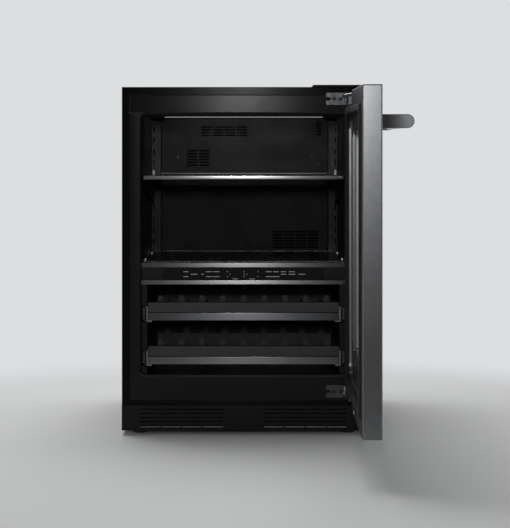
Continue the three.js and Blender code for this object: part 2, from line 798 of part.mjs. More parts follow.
function shelfBracket(sign) {
  const y0 = glassFront + 4;
  const y1 = trackFace - seat;
  const top = glassBottom - seat;
  const near = slotX - bracketThickness / 2;
  const far = slotX + bracketThickness / 2;
  const high = top + bracketUpstand;
  const profile = outline([[y0, top - bracketTip], [y1, top - bracketRoot], [y1, high],
    [glassBack + 3, high], [glassBack + 3, top], [y0, top]]);
  const plate = along(profile, sign > 0 ? near : -far, sign > 0 ? far : -near, 'x');
  const lip = sideBlock(sign, near - bracketLip, far, y0, glassBack, top - bracketThickness, top);
  const hooks = [shelfSlot, shelfSlot - 2].map((k) =>
    sideBlock(sign, near + 0.2, far - 0.2, y1 - 3, y1 + hookReach,
      slotZ(k) - hookDrop, slotZ(k) + hookRise));
  return join(plate, lip, ...hooks);
}

place(cabinet, 'shelf_glass', shelfGlass(), glass);
place(cabinet, 'shelf_front_trim', shelfFrontTrim(), stainless);
place(cabinet, 'shelf_bracket_left', shelfBracket(-1), blackPaint);
place(cabinet, 'shelf_bracket_right', shelfBracket(1), blackPaint);

// ---------------------------------------------------------------- wine racks and their slides

const midHalf = fixedHalf - slideSheet - running;
const innerHalf = midHalf - slideSheet - running;

// A channel along Y whose web is away from the middle of the cabinet and whose lips point towards it.
function channel(sign, lip, web, half, level, y0, y1) {
  return join(sideBlock(sign, web, web + slideSheet, y0, y1, level - half, level + half),
    sideBlock(sign, lip, web + 0.1, y0, y1, level + half - slideSheet, level + half),
    sideBlock(sign, lip, web + 0.1, y0, y1, level - half, level - half + slideSheet));
}

function fixedRail(sign, level, length) {
  const pads = [firstPad, length - firstPad - padLength].map((y) => sideBlock(sign, fixedWeb + 1,
    halfOpening - seat, slideStart + y, slideStart + y + padLength, level - fixedHalf, level + fixedHalf));
  return join(channel(sign, fixedLip, fixedWeb, fixedHalf, level, slideStart, slideStart + length), ...pads);
}

function midRail(sign, level, length) {
  return channel(sign, midLip, midWeb, midHalf, level, slideStart + 2, slideStart + length - 2);
}

// The rack's frame: two side rails with the slides' inner members, front and rear bars with a row of
// tabs, and the rods that the bottles lie on.
function rackFrame(level, depth) {
  const back = rackFront + depth;
  const barFront = fasciaBack + seat;
  const sideNear = rackHalf - sideRail;
  const bottom = level - trimDrop + 2;
  const fasciaTop = level - trimDrop + rackTrimHeight + fasciaHeight + 1;
  const barTop = fasciaTop - 6;
  const parts = [];
  for (const sign of [-1, 1]) {
    parts.push(sideBlock(sign, sideNear, rackHalf - 0.3, barFront, back, bottom, barTop));
    parts.push(sideBlock(sign, rackHalf - 1, midLip + 0.1, barFront, back - 6,
      level - innerHalf, level + innerHalf));
    for (const edge of [-1, 1]) {
      const lipZ = level + edge * (innerHalf - slideSheet / 2);
      parts.push(sideBlock(sign, midLip, midWeb - running, barFront, back - 6,
        lipZ - slideSheet / 2, lipZ + slideSheet / 2));
    }
  }
  const comb = [[-sideNear - 1, bottom], [sideNear + 1, bottom], [sideNear + 1, barTop]];
  const high = fasciaTop + cradleTabRise;
  for (let k = cradleCount - 1; k >= 0; k -= 1) {
    const x = (k - (cradleCount - 1) / 2) * cradlePitch;
    const root = cradleTabWidth / 2 + tabTaper;
    const tip = cradleTabWidth / 2 - tabTaper;
    comb.push([x + root, barTop], [x + tip, high], [x - tip, high], [x - root, barTop]);
  }
  comb.push([-sideNear - 1, barTop]);
  parts.push(along(outline(comb), barFront, barFront + cradleBar, 'y'));
  parts.push(along(outline(comb), back - cradleBar, back, 'y'));
  for (let k = 0; k < cradleCount; k += 1) {
    const x = (k - (cradleCount - 1) / 2) * cradlePitch;
    parts.push(cylinder('y', x, (barFront + back) / 2, level - rodDrop, rodRadius,
      back - barFront - cradleBar, 8));
  }
  return join(...parts);
}

function rackFascia(level) {
  const z0 = level - trimDrop + rackTrimHeight + 1;
  const z1 = z0 + fasciaHeight;
  const y1 = fasciaBack;
  const y0 = y1 - fasciaThickness;
  return along(outline([[y0, z0], [y0, z1 - 2], [y0 + 2, z1], [y1, z1], [y1, z0]]), -rackHalf, rackHalf, 'x');
}

function rackTrim(level) {
  const z0 = level - trimDrop;
  return chamferedStrip(fasciaBack - rackTrimThickness, fasciaBack, z0, z0 + rackTrimHeight, rackHalf);
}

const racks = [['upper', upperRackLevel, upperRackDepth], ['lower', lowerRackLevel, lowerRackDepth]];
for (const [rack, level, depth] of racks) {
  const railLength = depth - railShort;
  for (const [side, sign] of [['left', -1], ['right', 1]]) {
    place(cabinet, `${rack}_slide_fixed_${side}`, fixedRail(sign, level, railLength), zinc);
    place(cabinet, `${rack}_slide_middle_${side}`, midRail(sign, level, railLength), chrome);
  }
  place(cabinet, `${rack}_rack_frame`, rackFrame(level, depth), blackPaint);
  place(cabinet, `${rack}_rack_fascia`, rackFascia(level), greyPlastic);
  place(cabinet, `${rack}_rack_trim`, rackTrim(level), stainless);
}

// ---------------------------------------------------------------- compressor bay

function compressor() {
  const base = baseTop + seat;
  const plate = base + compressorLift;
  const can = plate + 8;
  const r = compressorRadius;
  const top = can + compressorHeight;
  const shell = turned([[0, can], [r * 0.6, can], [r - 4, can + 14], [r, can + 40], [r, top - 50],
    [r - 6, top - 22], [r * 0.6, top - 4], [0, top]], compressorX, compressorY, 24);
  const foot = block(compressorX - r, compressorX + r, compressorY - r, compressorY + r,
    plate, plate + footPlate);
  const riser = cylinder('z', compressorX, compressorY, plate + 8, r * 0.5, 14, 16);
  const grommets = [[-1, -1], [1, -1], [-1, 1], [1, 1]].map(([sx, sy]) =>
    cylinder('z', compressorX + sx * (r - grommetInset), compressorY + sy * (r - grommetInset),
      base + compressorLift / 2 + 0.5, grommetRadius, compressorLift + 1, 12));
  const terminal = block(compressorX + r - 12, compressorX + r + terminalReach,
    compressorY - terminalWidth / 2, compressorY + terminalWidth / 2, can + 50, can + 100);
  return join(shell, foot, riser, ...grommets, terminal);
}

function condenserShroud() {
  const front = condenserFront + condenserDepth + seat;
  const half = condFanRadius + shroudMargin;
  const mouth = cylinder('y', condFanX, front + 20, condFanZ, condFanRadius + fanGap, 60, 28);
  const wall = cut(block(condFanX - half, condFanX + half, front, front + shroudThickness, baseTop + seat,
    condFanZ + half), mouth);
  return join(wall, fanCarrier(condFanX, condFanY, condFanZ, condFanRadius, front + 2));
}

function condenserCoil() {
  const x0 = condFanX - condenserWidth / 2;
  return finnedCoil(x0, x0 + condenserWidth, condenserFront, condenserFront + condenserDepth,
    baseTop + seat, baseTop + seat + condenserHeight);
}

function drainPan() {
  const x0 = trayLeft;
  const y0 = bayFront + trayFront;
  const z0 = baseTop + seat;
  const tray = block(x0, x0 + trayWidth, y0, y0 + trayDepth, z0, z0 + trayHeight);
  return cut(tray, block(x0 + trayWall, x0 + trayWidth - trayWall, y0 + trayWall, y0 + trayDepth - trayWall,
    z0 + trayWall, z0 + trayHeight + 1));
}

function powerInlet() {
  const back = caseDepth + seat + caseSheet + seat;
  const w = inletWidth / 2;
  const h = inletHeight / 2;
  const flange = along(roundedRect(inletX - w - 6, inletX + w + 6, inletZ - h - 5, inletZ + h + 5, 4),
    back, back + inletFlange, 'y', 2);
  const shell = block(inletX - w, inletX + w, back - inletDepth, back + 1, inletZ - h, inletZ + h);
  const socket = block(inletX - w + 6, inletX + w - 6, back - inletDepth + 8, back + inletFlange + 1,
    inletZ - h + 5, inletZ + h - 5);
  const pins = inletPins.map((x) => block(inletX + x - 1, inletX + x + 1, back - inletDepth + 7, back - 4,
    inletZ - 2.5, inletZ + 2.5));
  return join(cut(join(flange, shell), socket), ...pins);
}

place(cabinet, 'compressor', compressor(), blackPaint);
place(cabinet, 'condenser_coil', condenserCoil(), copper);
place(cabinet, 'condenser_fan_shroud', condenserShroud(), greyPlastic);
place(cabinet, 'condenser_fan', impeller(condFanX, condFanY, condFanZ, condFanRadius), blackPlastic);
place(cabinet, 'drain_pan', drainPan(), greyPlastic);
place(cabinet, 'power_inlet', powerInlet(), blackPlastic);

// ---------------------------------------------------------------- hinges

// The cabinet half: a screwed plate, an arm out to the pivot, and the pin.
function hingeBracket(plateLow, armLow, pinLow) {
  const y1 = -seat;
  const y0 = y1 - plateThickness;
  const holes = hingeScrews.map((x) =>
    cylinder('y', plateLeft + x, y1, plateLow + plateHeight / 2, hingeScrewRadius, 20, 12));
  const plate = cut(block(plateLeft, plateRight, y0, y1, plateLow, plateLow + plateHeight), ...holes);
  const arm = along(outline([[armRootLeft, y1], [armRootLeft, y0 - 2], [pivotX - armBoss, pivotY],
    [pivotX + armBoss, pivotY], [plateRight, y0 - 2], [plateRight, y1]]), armLow, armLow + armThickness, 'z');
  const boss = cylinder('z', pivotX, pivotY, armLow + armThickness / 2, armBoss, armThickness);
  const pin = cylinder('z', pivotX, pivotY, pinLow + pinLength / 2, pinRadius, pinLength);
  return join(plate, arm, boss, pin);
}

const bottomArmLow = doorBottom - running - armThickness;
const topPlateLow = topArmLow + armThickness + 5 - plateHeight;
const cupBack = -doorGap - seat;
const cupFront = doorOuter + pocketSkin + seat;
const topCupHigh = topArmLow - running;
const topCupLow = topCupHigh - cupHeight;
const topPocketLow = topCupLow - seat;
const bottomCupLow = doorBottom + seat;
const bottomPocketHigh = bottomCupLow + cupHeight + seat;
const cupRight = halfCase - pocketSkin - seat;

// The door half: a block in the door's corner pocket, bored for the pin. Its back edge is chamfered.
function hingeCup(low, pinLow) {
  const left = pocketLeft + seat;
  const body = along(outline([[left, cupFront], [cupRight, cupFront], [cupRight, cupBack - cupChamfer],
    [cupRight - cupChamfer, cupBack], [left, cupBack]]), low, low + cupHeight, 'z');
  const bore = cylinder('z', pivotX, pivotY, pinLow + pinLength / 2, pinRadius + seat, pinLength + 2 * seat);
  return cut(body, bore);
}

const topPinLow = topArmLow + armThickness - pinLength;
place(cabinet, 'hinge_bracket_top', hingeBracket(topPlateLow, topArmLow, topPinLow), zinc);
place(cabinet, 'hinge_bracket_bottom', hingeBracket(bottomArmLow, bottomArmLow, bottomArmLow), zinc);
place(doorLeaf, 'hinge_cup_top', hingeCup(topCupLow, topPinLow), zinc);
place(doorLeaf, 'hinge_cup_bottom', hingeCup(bottomCupLow, bottomArmLow), zinc);

// ---------------------------------------------------------------- door

const windowHalf = halfCase - windowSide;
const windowTop = doorTop - windowAbove;
const windowBottom = doorBottom + windowBelow;
const gasketHalf = halfCase - gasketInset;
const linerHalf = gasketHalf - gasketWidth - 1;
const linerTop = doorTop - gasketInset - gasketWidth - 1;
const linerBottom = doorBottom + gasketInset + gasketWidth + 1;

function windowShape(grow, radius, path) {
  return roundedRect(-windowHalf - grow, windowHalf + grow, windowBottom - grow, windowTop + grow,
    radius, path);
}

function ringAlongY(outer, hole, y0, y1) {
  outer.holes.push(hole);
  return along(outer, y0, y1, 'y');
}

function doorFrame() {
  const slab = along(roundedRect(-halfCase, halfCase, doorBottom, doorTop, 2), doorOuter, -doorGap, 'y', 1);
  const window = along(windowShape(0, windowRadius), doorOuter - 1, 0, 'y');
  const glazing = along(windowShape(glazingBite + seat, 6), doorOuter + frontLip, 0, 'y', 2);
  const recess = along(roundedRect(-linerHalf - seat, linerHalf + seat, linerBottom - seat,
    linerTop + seat, 8), -doorGap - linerRecess, 0, 'y', 2);
  const topPocket = block(pocketLeft, halfCase + 1, doorOuter + pocketSkin, 0, topPocketLow, doorTop + 1);
  const bottomPocket = block(pocketLeft, halfCase - pocketSkin, doorOuter + pocketSkin, 0,
    doorBottom - 1, bottomPocketHigh);
  return cut(slab, window, glazing, recess, topPocket, bottomPocket);
}

function pane(y0) {
  return along(windowShape(glazingBite, 6), y0, y0 + paneThickness, 'y', 2);
}

function glazingSpacer() {
  return ringAlongY(windowShape(glazingBite, 6), windowShape(glazingBite - spacerWidth, 6, new THREE.Path()),
    spacerFace, spacerFace + spacerDepth);
}

function doorInnerFrame() {
  const sleeve = ringAlongY(windowShape(glazingBite, 6), windowShape(0, windowRadius, new THREE.Path()),
    retainerFace, -doorGap - linerRecess + 1);
  const plate = ringAlongY(roundedRect(-linerHalf, linerHalf, linerBottom, linerTop, 8),
    windowShape(0, windowRadius, new THREE.Path()), -doorGap - linerRecess + seat, -doorGap);
  return join(sleeve, plate);
}

function doorGasket() {
  const low = doorBottom + gasketInset;
  const high = doorTop - gasketInset;
  const w = gasketWidth;
  return ringAlongY(roundedRect(-gasketHalf, gasketHalf, low, high, 6),
    roundedRect(-gasketHalf + w, gasketHalf - w, low + w, high - w, 3, new THREE.Path()),
    -doorGap + seat, -doorGap + seat + gasketDepth);
}

const handleAxis = doorOuter - handleReach + handleHeight / 2;

function handleBracket(sign) {
  const r = handleHeight / 2;
  const shape = new THREE.Shape();
  shape.moveTo(doorOuter - seat, handleLevel - r);
  shape.lineTo(doorOuter - seat, handleLevel + r);
  shape.lineTo(handleAxis, handleLevel + r);
  shape.absarc(handleAxis, handleLevel, r, Math.PI / 2, Math.PI * 1.5, false);
  const near = handleHalf - handleEnd;
  return along(shape, sign > 0 ? near : -near - handleEnd, sign > 0 ? near + handleEnd : -near, 'x', 12);
}

function handleBar() {
  const length = 2 * (handleHalf - handleEnd - seat);
  return cylinder('x', 0, handleAxis, handleLevel, handleBarRadius, length, 28);
}

place(doorLeaf, 'door_frame', doorFrame(), stainless);
place(doorLeaf, 'door_glass_outer', pane(outerPane), glass);
place(doorLeaf, 'glazing_spacer', glazingSpacer(), aluminium);
place(doorLeaf, 'door_glass_inner', pane(innerPane), glass);
place(doorLeaf, 'door_inner_frame', doorInnerFrame(), blackPlastic);
place(doorLeaf, 'door_gasket', doorGasket(), rubber);
place(doorLeaf, 'handle_bar', handleBar(), stainless);
place(doorLeaf, 'handle_bracket_hinge_side', handleBracket(1), stainless);
place(doorLeaf, 'handle_bracket_latch_side', handleBracket(-1), stainless);

// ---------------------------------------------------------------- assembly

// The door leaf hangs in a group that turns about the pivot.
const doorSwing = new THREE.Group();
doorSwing.position.set(pivotX, pivotY, 0);
doorSwing.rotation.z = THREE.MathUtils.degToRad(doorOpenAngle);
doorLeaf.position.set(-pivotX, -pivotY, 0);
doorSwing.add(doorLeaf);
cabinet.add(doorSwing);

// The origin is on the floor, in the middle of the whole open cooler's plan.
const wineCooler = new THREE.Group();
wineCooler.add(cabinet);
wineCooler.updateMatrixWorld(true);
const extent = new THREE.Box3().setFromObject(cabinet, true);
cabinet.position.set(-(extent.min.x + extent.max.x) / 2, -(extent.min.y + extent.max.y) / 2, 0);

export default wineCooler;
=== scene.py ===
# %% [markdown]
# # An undercounter wine cooler
# A black insulated cabinet, a glass shelf above, two pull-out wine racks below, and a glazed
# stainless door that stands open at a right angle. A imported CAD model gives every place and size,
# and moves when the joints move. This file dresses it: pieces whose shape matters are modelled
# again with rounded edges and small parts, and the others keep their CAD mesh and get a finish.

# %% Load the frame
import json
import math

import bmesh
import bpy
from mathutils import Matrix, Vector


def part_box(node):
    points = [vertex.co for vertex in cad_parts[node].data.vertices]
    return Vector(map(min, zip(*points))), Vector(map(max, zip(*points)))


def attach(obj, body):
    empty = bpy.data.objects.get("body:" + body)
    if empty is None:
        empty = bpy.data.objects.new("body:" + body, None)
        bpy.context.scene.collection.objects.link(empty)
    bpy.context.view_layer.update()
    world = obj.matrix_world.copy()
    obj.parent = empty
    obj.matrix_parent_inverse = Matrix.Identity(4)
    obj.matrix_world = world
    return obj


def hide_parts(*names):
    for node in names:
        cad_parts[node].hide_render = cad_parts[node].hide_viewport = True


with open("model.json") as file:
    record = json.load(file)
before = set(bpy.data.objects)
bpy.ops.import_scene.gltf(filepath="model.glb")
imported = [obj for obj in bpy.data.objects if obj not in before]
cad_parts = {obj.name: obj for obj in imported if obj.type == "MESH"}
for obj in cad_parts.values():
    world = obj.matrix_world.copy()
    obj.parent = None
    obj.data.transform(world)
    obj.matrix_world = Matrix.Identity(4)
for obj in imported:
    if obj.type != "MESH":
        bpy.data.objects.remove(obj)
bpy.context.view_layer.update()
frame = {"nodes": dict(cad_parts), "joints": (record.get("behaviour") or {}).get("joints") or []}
nodes = frame["nodes"]
scene = bpy.context.scene
scene.view_settings.view_transform = "Standard"

# %% [markdown]
# ## Workshop millimetres
# A maker draws a cabinet in millimetres from the middle of its front edge, with X to the right, Y
# to the back and Z up from the floor. The frame is in metres and its origin lies elsewhere, so
# pieces are drawn in workshop millimetres and turned into the frame's metres at the very end. The
# door is easiest to draw shut. It turns open about the hinge pin together with its pieces.

# %% Places
MM = 0.001
case_low, case_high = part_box("outer_case")
ORIGIN = Vector(((case_low.x + case_high.x) / 2, case_low.y, 0))  # the workshop's origin in the frame
TO_FRAME = Matrix.Translation(ORIGIN) @ Matrix.Scale(MM, 4)
hinge = next(j for j in frame["joints"] if j["name"] == "door_hinge")
PIVOT = (Vector(hinge["pos_m"]) - ORIGIN) / MM
PIVOT.z = 0
OPEN = Matrix.Translation(PIVOT) @ Matrix.Rotation(math.radians(90), 4, "Z") @ Matrix.Translation(-PIVOT)


def span(node, shut=False):
    """Lowest and highest corner of a CAD node in workshop millimetres; a door piece as if shut."""
    corners = [(c - ORIGIN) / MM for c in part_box(node)]
    if shut:
        corners = [OPEN.inverted() @ c for c in corners]
    low = Vector(map(min, *corners))
    high = Vector(map(max, *corners))
    return low, high


# in a name, 0 is a piece's lowest corner and 1 its highest
case0, case1 = span("outer_case")
door0, door1 = span("door_frame", shut=True)
print("case", [round(v) for v in case1 - case0], "door", [round(v) for v in door1 - door0])

# %% [markdown]
# ## Camera
# The cooler is seen straight on, from far away and a little under its top. A long lens keeps the
# sides nearly parallel. The lens is level, so upright edges stay upright, and the picture is
# shifted down to the cabinet instead of tilting the camera.

# %% Camera
LENS_AWAY, LENS_HIGH = 4.0, 0.7226  # metres in front of the cabinet, and above the floor
camera_data = bpy.data.cameras.new("camera")
camera_data.sensor_width = 36
camera_data.lens = 109.5
camera_data.shift_y = -0.2254
camera_data.clip_end = 50
camera = bpy.data.objects.new("camera", camera_data)
camera.location = (ORIGIN.x + 0.0286, ORIGIN.y - LENS_AWAY, LENS_HIGH)
camera.rotation_euler = (math.radians(90), 0, 0)
scene.collection.objects.link(camera)
scene.camera = camera
print("lens", camera_data.lens, "mm,", LENS_AWAY, "m away and", LENS_HIGH, "m up")

# %% [markdown]
# ## Nodes by name
# The world and every material are trees of nodes. In the editor one adds a node, types its values
# and drags its links. The helpers below do all that in one call: a value is written into a socket, and
# another node's output is linked to it.

# %% Nodes by name
def add_node(tree, kind, inputs=None, **settings):
    """A node with its inputs set by name or number; a socket is linked and anything else is a value."""
    made = tree.nodes.new(kind)
    for key, value in settings.items():
        setattr(made, key, value)
    for key, value in (inputs or {}).items():
        if isinstance(value, bpy.types.NodeSocket):
            tree.links.new(value, made.inputs[key])
        else:
            made.inputs[key].default_value = value
    return made


def noise(tree, vector, scale, detail=2.0, roughness=0.5):
    """Soft noise from 0 to 1; its scale is how many blots fit in a metre."""
    return add_node(tree, "ShaderNodeTexNoise", {"Vector": vector, "Scale": scale, "Detail": detail,
                                                 "Roughness": roughness}).outputs["Fac"]


def remap(tree, value, low, high, to_low=0.0, to_high=1.0, ramp="LINEAR"):
    """Stretches a range of values to another range and clamps what lies outside."""
    return add_node(tree, "ShaderNodeMapRange", {"Value": value, "From Min": low, "From Max": high,
                                                 "To Min": to_low, "To Max": to_high},
                    interpolation_type=ramp).outputs["Result"]


def times(tree, first, second):
    """The product of two values, such as a mask and its strength."""
    return add_node(tree, "ShaderNodeMath", {0: first, 1: second}, operation="MULTIPLY").outputs[0]


# %% [markdown]
# ## Studio
# The cooler stands on a wide pale floor. All round, the room glows softly at eye level and is dimmer
# above, as between white studio walls. Only the side behind the lens is dark, because a studio
# keeps its people and cables there, and that is what the blacks of the front mirror. Real walls
# could be modelled, but a world whose strength depends on the direction does the same with no mesh.

# %% Room glow
PALE, DIM, SKY = 0.74, 0.06, 0.12
GLOW = (0.97, 0.985, 1.0, 1)


def glow_strength(tree, direction):
    """How bright the room is in a direction: pale at eye level, dim towards -Y, duller above."""
    unit = add_node(tree, "ShaderNodeVectorMath", {0: direction}, operation="NORMALIZE").outputs[0]
    parts = add_node(tree, "ShaderNodeSeparateXYZ", {0: unit}).outputs
    level = remap(tree, parts["Y"], -0.94, -0.60, DIM, PALE, "SMOOTHSTEP")
    return remap(tree, parts["Z"], 0.10, 0.42, level, SKY, "SMOOTHSTEP")


world = bpy.data.worlds.new("studio")
world.use_nodes = True
sky = world.node_tree
toward = sky.nodes.new("ShaderNodeTexCoord").outputs["Generated"]
sky.nodes["Background"].inputs["Color"].default_value = GLOW
sky.links.new(glow_strength(sky, toward), sky.nodes["Background"].inputs["Strength"])
scene.world = world
print("room glow", PALE, "all round,", DIM, "behind the lens,", SKY, "above")

# %% [markdown]
# ### Floor
# A studio rolls paper over the floor and up the wall, so that no line shows where they meet. Here the
# floor is one wide disc. Near the cooler it is paper and takes the shadow; further out it turns
# into a plain glow of the same strength as the room behind it, and the line is gone.

# %% Floor
FADE_FROM, FADE_TO = 1.0, 1.55  # metres from the middle
paper = bpy.data.materials.new("studio floor")
paper.use_nodes = True
tree = paper.node_tree
shader = tree.nodes["Principled BSDF"]
shader.inputs["Base Color"].default_value = (0.80, 0.805, 0.81, 1)
shader.inputs["Roughness"].default_value = 0.9
shader.inputs["Specular IOR Level"].default_value = 0.1
away = add_node(tree, "ShaderNodeTexCoord").outputs["Object"]
far = add_node(tree, "ShaderNodeEmission", {"Color": GLOW, "Strength": glow_strength(tree, away)}).outputs[0]
reach = add_node(tree, "ShaderNodeVectorMath", {0: away}, operation="LENGTH").outputs["Value"]
fade = remap(tree, reach, FADE_FROM, FADE_TO, ramp="SMOOTHSTEP")
mix = add_node(tree, "ShaderNodeMixShader", {0: fade, 1: shader.outputs[0], 2: far}).outputs[0]
tree.links.new(mix, tree.nodes["Material Output"].inputs["Surface"])

disc = bmesh.new()
bmesh.ops.create_circle(disc, cap_ends=True, radius=40, segments=96)
floor_mesh = bpy.data.meshes.new("floor")
disc.to_mesh(floor_mesh)
disc.free()
floor_mesh.materials.append(paper)
floor = bpy.data.objects.new("floor", floor_mesh)
scene.collection.objects.link(floor)
print("floor: paper to", FADE_FROM, "m, all glow from", FADE_TO, "m")

# %% [markdown]
# ### Lamps
# A wide lamp above lights the floor and the top edges. A small one stands behind the lens, above it and
# in line with the cabinet's middle. It hardly lights anything black, but the header, the shelf, the steel
# strips and the door's edge shine back from it, which gives them all bright middles. The third, a thin
# one, is the cabinet's own light under its ceiling. Area lamps are used, because a rectangle gives
# soft shadows and a highlight of its own shape.

# %% Lamps
def softbox(name, place, aim, wide, high, watts):
    """A soft rectangular lamp that looks from a place at a point."""
    data = bpy.data.lights.new(name, "AREA")
    data.shape = "RECTANGLE"
    data.size, data.size_y = wide, high
    data.energy = watts
    lamp = bpy.data.objects.new(name, data)
    lamp.location = place
    lamp.rotation_euler = (Vector(aim) - Vector(place)).to_track_quat("-Z", "Y").to_euler()
    scene.collection.objects.link(lamp)
    return lamp


softbox("lamp above", (-0.4, 1.1, 3.4), aim=(0, 0.3, 0.2), wide=2.6, high=2.2, watts=85)
softbox("high lamp by the lens", (ORIGIN.x - 0.04, -4.3, 1.16), aim=(ORIGIN.x, 0, 0.5), wide=0.20, high=0.30,
        watts=28)
softbox("light strip", (ORIGIN.x, ORIGIN.y + 0.108, 0.789), aim=(ORIGIN.x, ORIGIN.y + 0.46, 0.80), wide=0.38,
        high=0.008, watts=0.55)

# %% [markdown]
# ## Modelling helpers
# Every new piece starts as a simple bmesh shape and is cut, bevelled or joined from there. A
# sharp edge never shines, but a real one always has a small radius that catches the light, so
# nearly everything here gets a bevel of a few tenths of a millimetre or more. Shapes that repeat, such
# as screws, are made once and stamped where they belong.

# %% Blocks
def soften(bm, edge, segments=2, sharper=20):
    """Rounds every edge that folds by more than an angle."""
    bmesh.ops.recalc_face_normals(bm, faces=bm.faces)
    folds = [e for e in bm.edges if len(e.link_faces) == 2 and e.calc_face_angle() > math.radians(sharper)]
    bmesh.ops.bevel(bm, geom=folds, offset=edge, segments=segments, profile=0.5, affect="EDGES", material=-1)
    return bm


def block(low, high, edge=0.0, segments=2):
    """A block between two corners with rounded edges."""
    bm = bmesh.new()
    low, high = Vector(low), Vector(high)
    bmesh.ops.create_cube(bm, size=1)
    bmesh.ops.scale(bm, vec=high - low, verts=bm.verts)
    bmesh.ops.translate(bm, vec=(low + high) / 2, verts=bm.verts)
    return soften(bm, edge, segments) if edge else bm


# %% Bars
def bar(outline, start, end, along="X", edge=0.0, segments=2, sharper=20):
    """An outline extruded along an axis: its points are (Y, Z), (X, Z) or (X, Y)."""
    bm = bmesh.new()
    axis = "XYZ".index(along)
    corners = []
    for point in outline:
        place = list(point)
        place.insert(axis, start)
        corners.append(bm.verts.new(place))
    pulled = bmesh.ops.extrude_face_region(bm, geom=[bm.faces.new(corners)])["geom"]
    step = Vector((0, 0, 0))
    step[axis] = end - start
    bmesh.ops.translate(bm, vec=step, verts=[v for v in pulled if isinstance(v, bmesh.types.BMVert)])
    bmesh.ops.recalc_face_normals(bm, faces=bm.faces)
    return soften(bm, edge, segments, sharper) if edge else bm


# %% [markdown]
# ### Turned parts and copies
# Screws, rods, feet and pins are all turned parts: half a section spun about an axis, as on a lathe. A
# primitive cylinder has sharp rims, while a profile can have its corners broken. Copies are stamped
# with a matrix, so one screw serves for a whole row.

# %% Turned parts
def turned(profile, steps=32):
    """A profile of (radius, height) points spun about Z."""
    bm = bmesh.new()
    dots = [bm.verts.new((r, 0, z)) for r, z in profile]
    line = [bm.edges.new(pair) for pair in zip(dots, dots[1:])]
    bmesh.ops.spin(bm, geom=dots + line, cent=(0, 0, 0), axis=(0, 0, 1), angle=2 * math.pi,
                   steps=steps, use_merge=True)
    bmesh.ops.remove_doubles(bm, verts=bm.verts, dist=1e-4)
    bmesh.ops.recalc_face_normals(bm, faces=bm.faces)
    return bm


# %% Copies
def moved(x, y, z):
    """A plain shift to a place."""
    return Matrix.Translation((x, y, z))


def facing(direction):
    """Turns +Z, the way a turned part looks, towards a direction."""
    return Vector(direction).to_track_quat("Z", "Y").to_matrix().to_4x4()


def stamp(target, part, *places):
    """Copies a part into another bmesh once for each place, and frees the part."""
    mesh = bpy.data.meshes.new("stamp")
    part.to_mesh(mesh)
    part.free()
    for place in places or (Matrix.Identity(4),):
        copy = mesh.copy()
        copy.transform(place)
        target.from_mesh(copy)
        bpy.data.meshes.remove(copy)
    bpy.data.meshes.remove(mesh)
    return target


def together(*parts):
    """Several parts as one mesh."""
    whole = bmesh.new()
    for part in parts:
        stamp(whole, part)
    return whole


# %% [markdown]
# ### Lofts, tubes and cuts
# The liner, the door's skin and the seal are rings or boxes whose section changes on the way. They
# could be pressed out of blocks with booleans, but a loft gives clean quads and exact corner radii: one
# rounded square is extruded again and again and settled on the next station. Wires are drawn as a
# curve with a round section. Slots and pockets are cut with a boolean, the plainest way to make a
# hole with any outline.

# %% Lofts
def loft(stations, closed=False, steps=6):
    """A skin through rectangles with rounded corners, each (x0, x1, z0, z1, y, radius).

    One square with rounded corners is drawn. It is extruded from station to station, and there each of its
    vertices moves to the same place of that station's corner.
    """
    bm = bmesh.new()
    face = bm.faces.new([bm.verts.new((x, 0, z)) for x, z in ((-2, -2), (2, -2), (2, 2), (-2, 2))])
    bmesh.ops.bevel(bm, geom=bm.verts[:], offset=1, segments=steps, profile=0.5, affect="VERTICES",
                    material=-1)
    edges = bm.edges[:]
    bmesh.ops.delete(bm, geom=bm.faces[:], context="FACES_ONLY")
    corner_of = {}
    for v in bm.verts:
        sx, sz = math.copysign(1, v.co.x), math.copysign(1, v.co.z)
        corner_of[v] = (sx, sz, v.co.x - sx, v.co.z - sz)

    def settle(verts, station):
        """Puts a ring's vertices where a station wants them."""
        x0, x1, z0, z1, y, radius = station
        for v in verts:
            sx, sz, dx, dz = corner_of[v]
            centre_x = x1 - radius if sx > 0 else x0 + radius
            centre_z = z1 - radius if sz > 0 else z0 + radius
            v.co = (centre_x + dx * radius, y, centre_z + dz * radius)

    settle(bm.verts, stations[0])
    for station in stations[1:] + (stations[:1] if closed else []):
        made = bmesh.ops.extrude_edge_only(bm, edges=edges)["geom"]
        fresh = {v for v in made if isinstance(v, bmesh.types.BMVert)}
        edges = [e for e in made if isinstance(e, bmesh.types.BMEdge) and set(e.verts) <= fresh]
        for v in fresh:
            corner_of[v] = next(corner_of[e.other_vert(v)] for e in v.link_edges
                                if e.other_vert(v) not in fresh)
        settle(fresh, station)
    bmesh.ops.remove_doubles(bm, verts=bm.verts, dist=1e-4)
    bmesh.ops.recalc_face_normals(bm, faces=bm.faces)
    return bm


